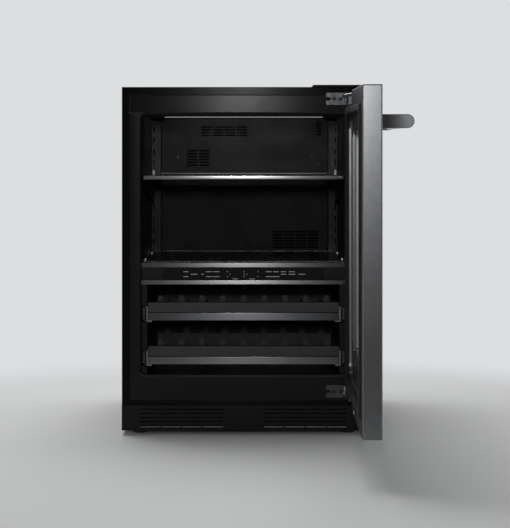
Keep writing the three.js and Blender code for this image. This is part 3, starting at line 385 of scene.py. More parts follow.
# %% Tubes
def tube(points, radius, corner):
    """A round tube through points, its corners bent to a radius."""
    path = bmesh.new()
    dots = [path.verts.new(p) for p in points]
    for pair in zip(dots, dots[1:]):
        path.edges.new(pair)
    bmesh.ops.bevel(path, geom=dots[1:-1], offset=corner, segments=6, profile=0.5, affect="VERTICES",
                    material=-1)
    ends = [v for v in path.verts if len(v.link_edges) == 1]
    start = min(ends, key=lambda v: (v.co - Vector(points[0])).length)
    line, seen = [start], {start}
    while True:
        onward = [e.other_vert(line[-1]) for e in line[-1].link_edges if e.other_vert(line[-1]) not in seen]
        if not onward:
            break
        line.append(onward[0])
        seen.add(onward[0])
    curve = bpy.data.curves.new("tube", "CURVE")
    curve.dimensions = "3D"
    curve.bevel_depth = radius
    curve.bevel_resolution = 3
    curve.use_fill_caps = True
    spline = curve.splines.new("POLY")
    spline.points.add(len(line) - 1)
    for point, vert in zip(spline.points, line):
        point.co = (*vert.co, 1)
    path.free()
    holder = bpy.data.objects.new("tube", curve)
    mesh = bpy.data.meshes.new_from_object(holder)
    bm = bmesh.new()
    bm.from_mesh(mesh)
    bmesh.ops.remove_doubles(bm, verts=bm.verts, dist=1e-4)
    bpy.data.objects.remove(holder)
    bpy.data.curves.remove(curve)
    bpy.data.meshes.remove(mesh)
    return bm


# %% Cuts
def carved(body, *cutters):
    """What is left of a body after cutters are taken away, by Blender's exact boolean."""
    def wrapped(bm, name):
        """A bmesh as an object, because the boolean is a modifier."""
        bmesh.ops.recalc_face_normals(bm, faces=bm.faces)
        mesh = bpy.data.meshes.new(name)
        bm.to_mesh(mesh)
        bm.free()
        item = bpy.data.objects.new(name, mesh)
        scene.collection.objects.link(item)
        return item

    stock, tool = wrapped(body, "stock"), wrapped(together(*cutters), "tool")
    cutting = stock.modifiers.new("cut", "BOOLEAN")
    cutting.operation, cutting.solver, cutting.object = "DIFFERENCE", "EXACT", tool
    cutting.use_self = True
    rest = bmesh.new()
    rest.from_object(stock, bpy.context.evaluated_depsgraph_get())
    for item in (stock, tool):
        mesh = item.data
        bpy.data.objects.remove(item)
        bpy.data.meshes.remove(mesh)
    return rest


# %% [markdown]
# ## From a bmesh to a piece
# The last step for each piece is always the same. Normals point outwards, shading is smooth except
# across sharp folds, and the mesh goes from workshop millimetres into the frame. A Weighted Normal modifier
# keeps large flat faces flat in the light, though their edges are rounded. The piece then rides
# on its body, so that it moves with its joint, and stands for the CAD nodes that it replaces.

# %% Piece
SHARP = math.radians(32)


def piece(name, bm, body, material, stands_for=(), shut=False, wall=0.0):
    """Turns a bmesh in millimetres into a finished piece on a body; shut pieces belong to the shut door."""
    bmesh.ops.recalc_face_normals(bm, faces=bm.faces)
    bm.transform(TO_FRAME @ OPEN if shut else TO_FRAME)
    for face in bm.faces:
        face.smooth = True
    for edge in bm.edges:
        edge.smooth = len(edge.link_faces) != 2 or edge.calc_face_angle() < SHARP
    mesh = bpy.data.meshes.new(name)
    bm.to_mesh(mesh)
    bm.free()
    mesh.materials.append(material)
    made = bpy.data.objects.new(name, mesh)
    scene.collection.objects.link(made)
    if wall:
        thick = made.modifiers.new("wall", "SOLIDIFY")
        thick.thickness = wall * MM
        thick.offset = -1
    even = made.modifiers.new("even shading", "WEIGHTED_NORMAL")
    even.keep_sharp = True
    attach(made, body)
    if stands_for:
        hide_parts(*stands_for)
    print(f"{name}: {len(mesh.polygons)} faces")
    return made


# %% [markdown]
# ## Finishes
# A finish is more than a colour. Paint has orange peel, moulded plastic has a fine grain, brushed
# steel has long scratches, and everything that hands and air reach gets smudges and a little dust.
# Those effects are shared, so each one is a node group that is built once. A group puts out only
# masks and heights; each material decides what to do with them.

# %% Groups
def new_group(name, inputs, outputs):
    """A node group with named inputs and outputs, and the nodes that give and take them inside."""
    tree = bpy.data.node_groups.new(name, "ShaderNodeTree")
    for label, value in inputs.items():
        kind = "NodeSocketVector" if isinstance(value, tuple) else "NodeSocketFloat"
        tree.interface.new_socket(name=label, in_out="INPUT", socket_type=kind).default_value = value
    for label in outputs:
        tree.interface.new_socket(name=label, in_out="OUTPUT", socket_type="NodeSocketFloat")
    print(f"group {name}: takes {', '.join(inputs)}, gives {', '.join(outputs)}")
    return tree, tree.nodes.new("NodeGroupInput").outputs, tree.nodes.new("NodeGroupOutput").inputs


# %% [markdown]
# ### Three shared effects
# **Handling** is what use leaves: broad mottling, smudges with soft borders, and dust that settles only on
# faces that look up. **Grain** is the pebbled skin of moulded plastic or powder paint. **Brushing** is
# noise stretched a few hundred times along one direction, which is just what an abrasive belt does.

# %% Handling
handling, given, gives = new_group("handling", {"Size": 1.0}, ["Mottle", "Smudge", "Dust"])
place = add_node(handling, "ShaderNodeTexCoord").outputs["Object"]
scaled = add_node(handling, "ShaderNodeVectorMath", {0: place, "Scale": given["Size"]},
                  operation="SCALE").outputs[0]
handling.links.new(noise(handling, scaled, 5.0, 3.0), gives["Mottle"])
blots = noise(handling, scaled, 17.0, 4.0, 0.6)
handling.links.new(remap(handling, blots, 0.46, 0.68), gives["Smudge"])
normal = add_node(handling, "ShaderNodeNewGeometry").outputs["Normal"]
upward = add_node(handling, "ShaderNodeSeparateXYZ", {0: normal}).outputs["Z"]
level = remap(handling, upward, 0.55, 1.0)
specks = remap(handling, noise(handling, scaled, 140.0, 3.0, 0.7), 0.42, 0.7)
handling.links.new(times(handling, level, specks), gives["Dust"])

# %% Grain
grain, given, gives = new_group("grain", {"Scale": 900.0}, ["Height"])
place = add_node(grain, "ShaderNodeTexCoord").outputs["Object"]
pebbles = add_node(grain, "ShaderNodeTexVoronoi", {"Vector": place, "Scale": given["Scale"]},
                   feature="SMOOTH_F1").outputs["Distance"]
ripple = noise(grain, place, given["Scale"], 2.0)
blend = add_node(grain, "ShaderNodeMath", {0: pebbles, 1: ripple}, operation="ADD").outputs[0]
grain.links.new(remap(grain, blend, 0.2, 1.4), gives["Height"])

# %% Brushing
brushing, given, gives = new_group("brushing", {"Stretch": (1.0, 1.0, 1.0)}, ["Lines", "Bands"])
place = add_node(brushing, "ShaderNodeTexCoord").outputs["Object"]
drawn = add_node(brushing, "ShaderNodeVectorMath", {0: place, 1: given["Stretch"]},
                 operation="MULTIPLY").outputs[0]
fine = noise(brushing, drawn, 1.0, 4.0, 0.7)
broad = noise(brushing, drawn, 0.14, 2.0)
brushing.links.new(remap(brushing, fine, 0.3, 0.7), gives["Lines"])
brushing.links.new(remap(brushing, broad, 0.35, 0.65), gives["Bands"])


# %% [markdown]
# ### One recipe for solid finishes
# Most finishes here follow one recipe. Two near colours are mixed by the mottling, dust lies over
# them, smudges change the roughness, and grain or brush lines bend the light. Each finish gets its
# own numbers, and what is the same all over a surface is written straight on the shader.

# %% Groups and mixes in a material
DUST = (0.32, 0.31, 0.29)


def use_group(tree, group, **inputs):
    """Places a shared effect with values of its own."""
    made = tree.nodes.new("ShaderNodeGroup")
    made.node_tree = group
    for key, value in inputs.items():
        made.inputs[key].default_value = value
    return made.outputs


def mixed_colour(tree, factor, first, second):
    """Two colours mixed by a mask; either may be a socket."""
    made = add_node(tree, "ShaderNodeMix", {"Factor": factor}, data_type="RGBA")
    # the colour sockets of a Mix node come after its float and vector ones
    for socket, colour in zip([s for s in made.inputs if s.type == "RGBA"], (first, second)):
        if isinstance(colour, bpy.types.NodeSocket):
            tree.links.new(colour, socket)
        else:
            socket.default_value = (*colour, 1)
    return next(s for s in made.outputs if s.type == "RGBA")


# %% Recipe
def surface(name, colours, rough, metallic=0.0, grain_scale=None, stretch=None, bump=0.1, depth=0.0002,
            dust=0.15, size=1.0, **fixed):
    """A finish between two colours and two roughnesses, with grain or brush lines."""
    material = bpy.data.materials.new(name)
    material.use_nodes = True
    tree = material.node_tree
    shader = tree.nodes["Principled BSDF"]
    wear = use_group(tree, handling, Size=size)
    tone, ease = wear["Mottle"], wear["Smudge"]
    height = None
    if stretch:
        lines = use_group(tree, brushing, Stretch=stretch)
        height = lines["Lines"]
        tone = times(tree, height, lines["Bands"])
    elif grain_scale:
        height = use_group(tree, grain, Scale=grain_scale)["Height"]
    mixed = mixed_colour(tree, tone, *colours)
    if dust:
        mixed = mixed_colour(tree, times(tree, wear["Dust"], dust), mixed, DUST)
    tree.links.new(mixed, shader.inputs["Base Color"])
    tree.links.new(remap(tree, ease, 0.0, 1.0, rough[0], rough[1]), shader.inputs["Roughness"])
    shader.inputs["Metallic"].default_value = metallic
    if height is not None and bump:
        bent = add_node(tree, "ShaderNodeBump", {"Strength": bump, "Distance": depth, "Height": height})
        tree.links.new(bent.outputs["Normal"], shader.inputs["Normal"])
    for key, value in fixed.items():
        shader.inputs[key.replace("_", " ")].default_value = value
    print(f"finish {name}: roughness {rough[0]} to {rough[1]}")
    return material


# %% [markdown]
# ### Blacks
# Nearly everything is black, so the blacks must differ: satin paint on the case, moulded plastic
# inside, polished plastic on the header and the controls, rubber on the seal. Blacks this deep are
# told apart by their shine and not by their colour, so the roughness and the specular level carry
# them. The front frame and the header are polished lengthwise, which draws a lamp's shine out upwards.

# %% Painted, moulded and coated blacks
case_paint = surface("case paint", [(0.0036, 0.0038, 0.0042), (0.0050, 0.0052, 0.0056)], (0.36, 0.39),
                     grain_scale=650, bump=0.08, dust=0.01, Specular_IOR_Level=0.15)
frame_paint = surface("front frame paint", [(0.0030, 0.0032, 0.0036), (0.0044, 0.0046, 0.0050)],
                      (0.215, 0.235), grain_scale=650, bump=0.02, dust=0.01, Specular_IOR_Level=0.055,
                      Anisotropic=0.76, Anisotropic_Rotation=0.25)
liner_plastic = surface("liner plastic", [(0.0062, 0.0066, 0.0074), (0.0088, 0.0092, 0.0100)], (0.34, 0.44),
                        grain_scale=1100, bump=0.10, dust=0.03, Specular_IOR_Level=0.12)
duct_plastic = surface("duct panel plastic", [(0.0075, 0.0079, 0.0086), (0.0098, 0.0102, 0.0110)],
                       (0.40, 0.5), grain_scale=1100, bump=0.10, dust=0.0, Specular_IOR_Level=0.07)
soft_grey = surface("soft grey plastic", [(0.020, 0.021, 0.023), (0.028, 0.029, 0.031)], (0.42, 0.55),
                    grain_scale=1000, bump=0.16, dust=0.06, Specular_IOR_Level=0.35)
dark_wire = surface("coated wire", [(0.007, 0.007, 0.0075), (0.011, 0.011, 0.0115)], (0.34, 0.46),
                    grain_scale=700, bump=0.08, dust=0.06, Specular_IOR_Level=0.3)
polished_black = surface("polished black", [(0.0045, 0.0047, 0.0052), (0.0062, 0.0064, 0.0070)],
                         (0.215, 0.235), dust=0.01, Specular_IOR_Level=0.10, Anisotropic=0.76,
                         Anisotropic_Rotation=0.25)
touch_glass = surface("touch glass", [(0.0035, 0.0036, 0.0042), (0.0045, 0.0047, 0.0053)], (0.42, 0.48),
                      dust=0.02, Specular_IOR_Level=0.10)
# painted highlight: this grey is far lighter than the liner and stands in for the shine on the rolled lip
lip_highlight_grey = surface("rolled lip", [(0.085, 0.087, 0.091), (0.10, 0.102, 0.107)], (0.34, 0.40),
                    grain_scale=900, bump=0.05, dust=0.02, Specular_IOR_Level=0.35)
# painted shade: near-black and almost without shine, it stands for the dark inside vents and slots
slot_shade_black = surface("painted slot shade", [(0.0010, 0.0010, 0.0011), (0.0018, 0.0018, 0.0019)], (0.7, 0.8),
                     grain_scale=900, bump=0.05, dust=0.0, Specular_IOR_Level=0.03)
plate_black = surface("divider glass", [(0.0035, 0.0036, 0.0042), (0.0045, 0.0047, 0.0053)], (0.26, 0.30),
                      dust=0.02, Specular_IOR_Level=0.4)
seal_rubber = surface("seal rubber", [(0.010, 0.010, 0.0105), (0.017, 0.017, 0.0175)], (0.55, 0.72),
                      grain_scale=1600, bump=0.18, dust=0.2)
foot_rubber = surface("foot rubber", [(0.016, 0.016, 0.017), (0.026, 0.026, 0.027)], (0.6, 0.8),
                      grain_scale=1400, bump=0.2, dust=0.3)

# %% [markdown]
# ### Brushed strips
# The strips of the shelf, the divider and the racks are steel brushed along their length. Such lines
# spread a lamp's shine across themselves, here up and down, and leave it narrow along the strip. So a
# lamp that stands well above a strip still gives it a bright middle with dark ends. Anisotropic sets how
# much longer the shine is one way than the other, and a rotation of a quarter stands it upright.
# The brush lines themselves are too fine to bend the light one by one, so they only vary the tone.
# The colours are kept far darker than bare steel as painted shade, so that the ends, which mirror the
# pale room, stay dark.

# %% Brushed strips
def shaded_strip_steel(part, colours, rough, uneven):
    """Steel brushed along X for one part's strips, its colour darkened as painted shade."""
    return surface(f"shaded brushed {part} steel", colours, rough, 1.0, stretch=(5, 110, 110), bump=0.0, dust=0.0,
                   Anisotropic=uneven, Anisotropic_Rotation=0.25)


# painted shade: these colours are far darker than bare steel, so the strips' ends mirror the room dimly
trim_steel = shaded_strip_steel("trim", [(0.113, 0.115, 0.119), (0.122, 0.124, 0.128)], (0.205, 0.209), 0.89)
edge_steel = shaded_strip_steel("edge", [(0.154, 0.157, 0.162), (0.164, 0.167, 0.172)], (0.205, 0.209), 0.89)
rack_steel = shaded_strip_steel("rack", [(0.132, 0.135, 0.140), (0.142, 0.145, 0.150)], (0.170, 0.174), 0.87)
shelf_steel = shaded_strip_steel("shelf", [(0.23, 0.234, 0.24), (0.25, 0.254, 0.26)], (0.160, 0.163), 0.73)

# %% [markdown]
# ### Other metals
# The door and its handle are the same steel with a coarser brush; their colour is kept far darker than
# bare steel as painted shade, so that they mirror the pale room dimly. The CAD slides, clips and links
# are bright plated steel, screws and back sheets are zinc plate, which has a flowery grain, and the hinges
# are darkened steel. The slide channels take the hinges' dark steel as painted shade, since their fronts
# stand in shadow. The hidden coil and fins are what such machines have: copper and bare aluminium.

# %% Other metals
# painted shade: kept far darker than bare steel, so that the door mirrors the pale room dimly
shaded_door_steel = surface("shaded brushed door steel", [(0.19, 0.193, 0.198), (0.225, 0.228, 0.233)], (0.305, 0.32), 1.0,
                     stretch=(500, 3, 500), bump=0.004, depth=0.0001, dust=0.01, Anisotropic=0.3)
# painted shade: kept far darker than bare steel, so that the handle mirrors the pale room dimly
shaded_handle_steel = surface("shaded brushed handle steel", [(0.126, 0.128, 0.133), (0.144, 0.146, 0.151)], (0.245, 0.255),
                       1.0, stretch=(600, 4, 600), bump=0.004, depth=0.0001, dust=0.0)
slide_chrome = surface("plated slide steel", [(0.58, 0.59, 0.61), (0.68, 0.69, 0.71)], (0.20, 0.28), 1.0,
                       stretch=(700, 4, 700), bump=0.02, depth=0.0001, dust=0.04)
zinc_plate = surface("zinc plate", [(0.33, 0.335, 0.34), (0.40, 0.405, 0.41)], (0.42, 0.48), 1.0,
                     grain_scale=260, bump=0.04, dust=0.05, size=4.0)
# also the slide channels' finish, where its darkness is painted shade for their shadowed fronts
hinge_steel_and_shade = surface("hinge steel and slide shade", [(0.045, 0.047, 0.050), (0.07, 0.072, 0.075)], (0.34, 0.42), 1.0,
                      grain_scale=500, bump=0.05, dust=0.04, size=4.0)
spacer_bright = surface("spacer aluminium", [(0.40, 0.405, 0.41), (0.45, 0.455, 0.46)], (0.34, 0.38), 1.0,
                        stretch=(500, 500, 3), bump=0.004, depth=0.0001, dust=0.0)
dark_satin = surface("dark satin steel", [(0.14, 0.142, 0.147), (0.18, 0.182, 0.187)], (0.34, 0.38), 1.0,
                     stretch=(500, 500, 3), bump=0.004, depth=0.0001, dust=0.0)
fin_aluminium = surface("fin aluminium", [(0.55, 0.56, 0.57), (0.68, 0.69, 0.70)], (0.32, 0.48), 1.0,
                        stretch=(900, 900, 8), bump=0.08, depth=0.0001, dust=0.25)
coil_copper = surface("coil copper", [(0.42, 0.17, 0.09), (0.60, 0.28, 0.16)], (0.3, 0.5), 1.0,
                      grain_scale=300, bump=0.06, dust=0.2, size=4.0)
compressor_paint = surface("compressor paint", [(0.010, 0.010, 0.011), (0.016, 0.016, 0.017)], (0.22, 0.36),
                           grain_scale=380, bump=0.14, dust=0.25)

# %% [markdown]
# ### Foam, board and print
# Insulating foam is poured between liner and case and sets with an open, bubbly skin. The control board
# has its green lacquer under a thin clear coat. The marks on the touch panel are pale ink.

# %% Foam, board and print
foam = surface("poured foam", [(0.60, 0.50, 0.27), (0.74, 0.64, 0.40)], (0.8, 0.95), grain_scale=420,
               bump=0.4, depth=0.0006, dust=0.0, size=4.0)
board_green = surface("board lacquer", [(0.012, 0.075, 0.035), (0.020, 0.105, 0.05)], (0.2, 0.35),
                      grain_scale=800, bump=0.05, dust=0.0, Coat_Weight=0.4)
print_grey = surface("printed marks", [(0.50, 0.52, 0.55), (0.58, 0.60, 0.63)], (0.4, 0.5), grain_scale=2000,
                     bump=0.05, dust=0.0, size=6.0)

# %% [markdown]
# ### Glass and light
# Clear glass is transmission, not a see-through colour: it bends and mirrors the room. The panes
# are toned a little grey, as coated glass is, and mirror less than bare glass would, because such panes
# have a coating against glare. The inner one is nearly invisible, so its cover is low. The lamp's
# lens is milky plastic that glows by itself.

# %% Glass and lens
def clear_glass(name, tint, rough, cover=1.0):
    """Glass with a tint; cover is how much of the light it meets at all."""
    material = bpy.data.materials.new(name)
    material.use_nodes = True
    tree = material.node_tree
    shader = tree.nodes["Principled BSDF"]
    wear = use_group(tree, handling, Size=1.5)
    shader.inputs["Base Color"].default_value = (*tint, 1)
    shader.inputs["Transmission Weight"].default_value = 1.0
    shader.inputs["IOR"].default_value = 1.45
    shader.inputs["Alpha"].default_value = cover
    shader.inputs["Specular IOR Level"].default_value = 0.15
    tree.links.new(remap(tree, wear["Smudge"], 0.0, 1.0, rough[0], rough[1]), shader.inputs["Roughness"])
    print(f"glass {name}: covers {cover:.0%} of the light it meets")
    return material


shelf_clear = clear_glass("shelf glass", (0.86, 0.93, 0.90), (0.01, 0.05))
pane_clear = clear_glass("pane glass", (0.62, 0.66, 0.68), (0.01, 0.03))
inner_clear = clear_glass("coated inner pane", (0.80, 0.84, 0.86), (0.01, 0.03), cover=0.12)
lens_white = surface("lamp lens", [(0.62, 0.63, 0.64), (0.70, 0.71, 0.72)], (0.3, 0.4), grain_scale=1500,
                     bump=0.05, dust=0.0, Emission_Color=(0.86, 0.92, 1.0, 1), Emission_Strength=0.13)

# %% [markdown]
# ## Finishes for the CAD nodes that stay
# Flat sheets and hidden machinery keep their CAD meshes, since remodelling them would show
# nothing new. A material goes on the node's own slot, and the mesh isn't touched. Nodes that a
# new piece stands for are dressed too, so that none is ever seen bare.

# %% Dress the frame
RACKS, SIDES, ENDS = ("upper", "lower"), ("left", "right"), ("front", "rear")
dressing = [
    (zinc_plate, ["rear_panel", "base_pan"] + [f"{rack}_slide_fixed_{side}" for rack in RACKS
                                               for side in SIDES]),
    (foam, ["foam_insulation"]),
    (duct_plastic, ["rear_duct_panel"]),
    (liner_plastic, ["shelf_track_left", "shelf_track_right", "evaporator_fan", "inner_liner", "power_inlet",
                     "door_inner_frame"]),
    (fin_aluminium, ["evaporator"]),
    (coil_copper, ["condenser_coil"]),
    (compressor_paint, ["compressor"]),
    (board_green, ["control_board"]),
    (soft_grey, ["divider_body", "condenser_fan_shroud", "drain_pan", "upper_rack_fascia",
                 "lower_rack_fascia"]),
    (dark_wire, ["condenser_fan"] + [f"{rack}_rack_frame" for rack in RACKS]),
    (case_paint, ["outer_case", "kick_grille", "hinge_cover_plate", "shelf_bracket_left",
                  "shelf_bracket_right"]),
    (polished_black, ["header_panel", "control_panel"]),
    (pane_clear, ["door_glass_outer"]),
    (inner_clear, ["door_glass_inner"]),
    (spacer_bright, ["glazing_spacer"]),
    (shelf_clear, ["shelf_glass"]),
    (lens_white, ["ceiling_light"]),
    (trim_steel, ["divider_front_trim"]),
    (edge_steel, ["control_lower_trim"]),
    (shelf_steel, ["shelf_front_trim"]),
    (rack_steel, [f"{rack}_rack_trim" for rack in RACKS]),
    (slide_chrome, [f"{rack}_slide_middle_{side}" for rack in RACKS for side in SIDES]),
    (hinge_steel_and_shade, [f"hinge_{part}_{end}" for part in ("bracket", "cup") for end in ("top", "bottom")]),
    (shaded_door_steel, ["door_frame"]),
    (seal_rubber, ["door_gasket"]),
    (shaded_handle_steel, ["handle_bar", "handle_bracket_hinge_side", "handle_bracket_latch_side"]),
    (foot_rubber, [f"levelling_leg_{end}_{side}" for end in ENDS for side in SIDES]),
]
dressed = set()
for material, names in dressing:
    for name in names:
        mesh = nodes[name].data
        mesh.materials.clear()
        mesh.materials.append(material)
        dressed.add(name)
print("dressed", len(dressed), "of", len(nodes), "nodes")

# %% [markdown]
# ## Screws
# A screw is a small turned head with a socket. Only its head shows, so the shank is left out. The head
# is made once, looking up its own Z axis, and turned to the face that it holds.

# %% Screw heads
def screw_head(radius, high=0.0):
    """A flat-domed head with a round socket, its seat at Z 0."""
    high = high or radius * 0.45
    profile = [(0, high * 0.35), (radius * 0.34, high * 0.35), (radius * 0.38, high * 0.95),
               (radius * 0.5, high), (radius * 0.8, high * 0.82), (radius * 0.97, high * 0.35), (radius, 0),
               (0, 0)]
    return turned(profile, 20)


def screws(radius, direction, places, high=0.0):
    """A set of heads that look in one direction."""
    return stamp(bmesh.new(), screw_head(radius, high), *[moved(*p) @ facing(direction) for p in places])


# %% [markdown]
# ## Case
# The case is one folded sheet over the sides and the top. Its front edge is folded inwards all
# round like a picture frame, and the folds meet in a mitre at each top corner. One frame with a hole
# would have no joints, so four bars with slanted ends are used: with every edge rounded, each joint
# becomes a fine groove, as on the real sheet.

# %% Case
FRAME = 20.0  # width of the folded frame
FOLD = 3.0    # and its depth
SHEET = 1.2   # the steel's thickness
header0, header1 = span("header_panel")
kick0, kick1 = span("kick_grille")
rail_low = kick1.z + 0.3
rail_high = rail_low + 12


def case_shell():
    """The wrap round the sides and the top, and the frame in front of it."""
    x, top, back = case1.x, case1.z, case1.y
    outer = [(-x, case0.z), (-x, top), (x, top), (x, case0.z)]
    inner = [(x - SHEET, case0.z), (x - SHEET, top - SHEET), (-x + SHEET, top - SHEET), (-x + SHEET, case0.z)]
    inx = x - FRAME
    frame_bars = [
        [(-x, rail_low), (-x, top), (-inx, top - FRAME), (-inx, rail_low)],
        [(x, rail_low), (inx, rail_low), (inx, top - FRAME), (x, top)],
        [(-x, top), (x, top), (inx, top - FRAME), (-inx, top - FRAME)],
        [(-inx, rail_low), (inx, rail_low), (inx, rail_high), (-inx, rail_high)],
    ]
    return bar(outer + inner, SHEET, back, "Y", edge=0.5), together(*[bar(b, 0, FOLD, "Y", 0.9, 3)
                                                                      for b in frame_bars])


wrap, front_frame = case_shell()
piece("case_wrap", wrap, "cabinet", case_paint, ["outer_case"])
piece("case_front_frame", front_frame, "cabinet", frame_paint)

# %% [markdown]
# ## Header and hinge cover
# A polished strip closes the foam above the opening. On the top, a low cover hides the hinge's
# screws at the hinge corner. A pressed cover could be a sheet with a drawn rim, but nobody sees inside
# it. So both are blocks, and only the cover's edges are rounded as wide as a pressing's.

# %% Header and cover
piece("header_strip", block(header0, header1, 1.0, 3), "cabinet", polished_black,
      ["header_panel"])
cover0, cover1 = span("hinge_cover_plate")
piece("hinge_cover", block(cover0, cover1, 2.2, 4), "cabinet", case_paint,
      ["hinge_cover_plate"])
cover_screws = [(cover0.x + 14, (cover0.y + cover1.y) / 2 + dy, cover1.z - 1.6) for dy in (-40, 40)]
piece("hinge_cover_screws", screws(4.2, (0, 0, 1), cover_screws, 1.5), "cabinet", zinc_plate)

# %% [markdown]
# ## Liner
# The liner is one sheet of plastic drawn into a mould: a flat flange, a rolled lip, and a box with
# rounded corners. A block with its front face removed could be bevelled into that shape, but a loft lets the
# corner radius change on the way in, as it does where plastic is drawn. A Solidify modifier then adds
# the wall behind. A thin ring of its own lies on the lip, coloured far lighter than the liner as a
# painted highlight where the roll shines.

# %% Liner
WALL = 2.6
cavity_top = header0.z - 1.7 - 3
cavity_side = case1.x - 46.5
cavity_low = 150.0
hump_front, hump_top = 352.0, 246.0
cavity_back = 512.0


def liner_shell():
    """The flange, the rolled lip, and the box behind them up to its rear wall."""
    def at(grow, y, radius):
        return (-cavity_side - grow, cavity_side + grow, cavity_low - grow, cavity_top + grow, y, radius)

    flange_x = case1.x - FRAME - 0.3
    flange = (-flange_x, flange_x, rail_high + 0.3, header0.z - 0.3, 0.2, 1.0)
    bm = loft([flange, at(4.2, 0.2, 15), at(3.0, 0.0, 15), at(1.2, 0.7, 13.4), at(0.3, 2.0, 12.6),
               at(0, 4.5, 12), at(0, cavity_back - 10, 12), at(-3, cavity_back - 3, 12),
               at(-10, cavity_back, 10)], steps=8)
    rim = [e for e in bm.edges if len(e.link_faces) == 1 and e.verts[0].co.y > cavity_back - 1]
    bmesh.ops.contextual_create(bm, geom=rim)
    bmesh.ops.recalc_face_normals(bm, faces=bm.faces)
    return bm


piece("liner_shell", liner_shell(), "cabinet", liner_plastic, ["inner_liner"], wall=WALL)
# the lip's ring, coloured light as a painted highlight
bead = [(-cavity_side - grow, cavity_side + grow, cavity_low - grow, cavity_top + grow, y, 13 + grow)
        for grow, y in ((0.1, 1.6), (0.1, 0.5), (0.6, -0.1), (1.4, -0.2), (2.0, 0.2), (2.0, 1.6))]
piece("liner_lip", loft(bead, closed=True, steps=8), "cabinet", lip_highlight_grey)

# %% [markdown]
# ### Step and side strips
# The compressor stands in a recess behind the foot of the liner, so the liner has a step there. Beside the
# wine racks the walls are thicker, with a recess for each slide. These are plain rounded blocks that
# sink a little into the liner, so no gap can show at their edges.

# %% Inside the liner
def liner_insides():
    """The step over the compressor and the side strips between the slides."""
    half = cavity_side - 0.2
    step = block((-half, hump_front, cavity_low - 1), (half, cavity_back, hump_top), 11, 6)
    fixed = {rack: span(f"{rack}_slide_fixed_left") for rack in ("lower", "upper")}
    ends = [cavity_low - 1, fixed["lower"][0].z - 2.5, fixed["lower"][1].z + 2.5, fixed["upper"][0].z - 2.5,
            fixed["upper"][1].z + 2.5, span("divider_body")[0].z - 0.3]
    parts = [step]
    for low, high in zip(ends[::2], ends[1::2]):
        for sign in (-1, 1):
            x = sorted((sign * (cavity_side - 17), sign * (cavity_side + 0.2)))
            parts.append(block((x[0], 5, low), (x[1], hump_front - 7, high), 2.0, 3))
    return together(*parts)


piece("liner_insides", liner_insides(), "cabinet", liner_plastic)

# %% [markdown]
# ## Light
# A strip of milky plastic under the ceiling. A dark cover hides all but its lowest edge from the front,
# so only a thin line of light shows, and an end cap closes each side. The strip's section is drawn and
# pulled along X, which keeps its long chamfers crisp. A lamp in the studio does the real lighting.

# %% Ceiling light
light0, light1 = span("ceiling_light")
CHAMFER = 2.2
lens = bar([(light0.y, light1.z), (light0.y, light0.z + CHAMFER), (light0.y + CHAMFER, light0.z),
            (light1.y - CHAMFER, light0.z), (light1.y, light0.z + CHAMFER), (light1.y, light1.z)],
           light0.x, light1.x, "X", 0.8, 3)
piece("light_lens", lens, "cabinet", lens_white, ["ceiling_light"])
near, far = light0.x - 7, light1.x + 7
frame_bits = [block((near, light0.y - 2.2, light0.z + 2.4), (far, light0.y - 0.3, light1.z), 0.5),
              block((near, light1.y + 0.3, light1.z - 3.4), (far, light1.y + 2.2, light1.z), 0.5)]
frame_bits += [block((x, light0.y - 1, light0.z - 0.4), (x + 6.6, light1.y + 1, light1.z), 1.2, 3)
               for x in (near, light1.x + 0.4)]
piece("light_frame", together(*frame_bits), "cabinet", soft_grey)

# %% [markdown]
# ## Back wall
# The duct panel is a flat CAD sheet with its slots already cut. A near-black sheet lies behind each
# field of slots as painted shade: it hides the coil, so the slots look as dark as deep shade. Two screws
# and two moulded pads hold the panel and its sensor lead. Only these small parts are new; the panel
# itself needs no more than a finish.

# %% Duct panel details
duct0, duct1 = span("rear_duct_panel")
body_top = span("divider_body")[1].z
half_duct, duct_top, face = duct1.x, duct1.z, duct0.y
# each field of slots has a left, right, lower and upper side
vents = [(-121, 7, duct_top - 48, duct_top - 20),
         (69 - half_duct, 132 - half_duct, duct_top - 131, duct_top - 86),
         (half_duct - 153, half_duct - 26, body_top + 7.4, body_top + 55.4),
         (half_duct - 31, half_duct - 17, duct_top - 45, duct_top - 7)]
# near-black sheets behind the vents, painted shade that also hides the coil
shade_sheets = [block((a - 2, face + 3.2, c - 2), (b + 2, face + 3.8, d + 2)) for a, b, c, d in vents]
piece("duct_slot_shade", together(*shade_sheets), "cabinet", slot_shade_black)
duct_screws = [(-half_duct + 44, face, duct_top - 107), (half_duct - 44, face, duct_top - 107)]
piece("duct_screws", screws(4.4, (0, -1, 0), duct_screws, 2.0), "cabinet", dark_wire)
pads = [block((x, face - 1.2, z), (x + 10, face + 0.4, z + 5), 0.8, 3)
        for x, z in ((half_duct - 34, duct_top - 90), (half_duct - 30, duct_top - 126))]
piece("duct_pads", together(*pads), "cabinet", liner_plastic)

# %% [markdown]
# ### Slot rims
# The columns beside the panel have a row of slots for the shelf's hooks. Each is punched, so its rim is
# rolled and catches the light. A small closed loft gives the roll, and a black pad gives the dark
# of the slot, which is deeper than any light reaches.

# %% Slot rims
SLOT_X, SLOT_PITCH, SLOTS = 249, 30.7, 11


def slot_rim(x, z, y, wide=4.0, high=16.0):
    """A rolled rim round a slot in a face that looks to the front."""
    section = ((2.6, 0.4), (2.4, -0.5), (1.8, -0.9), (0.9, -0.9), (0.2, -0.4), (0, 0.4))
    return loft([(x - wide / 2 - g, x + wide / 2 + g, z - high / 2 - g, z + high / 2 + g, y + rise, 1.6 + g)
                 for g, rise in section], closed=True, steps=4)


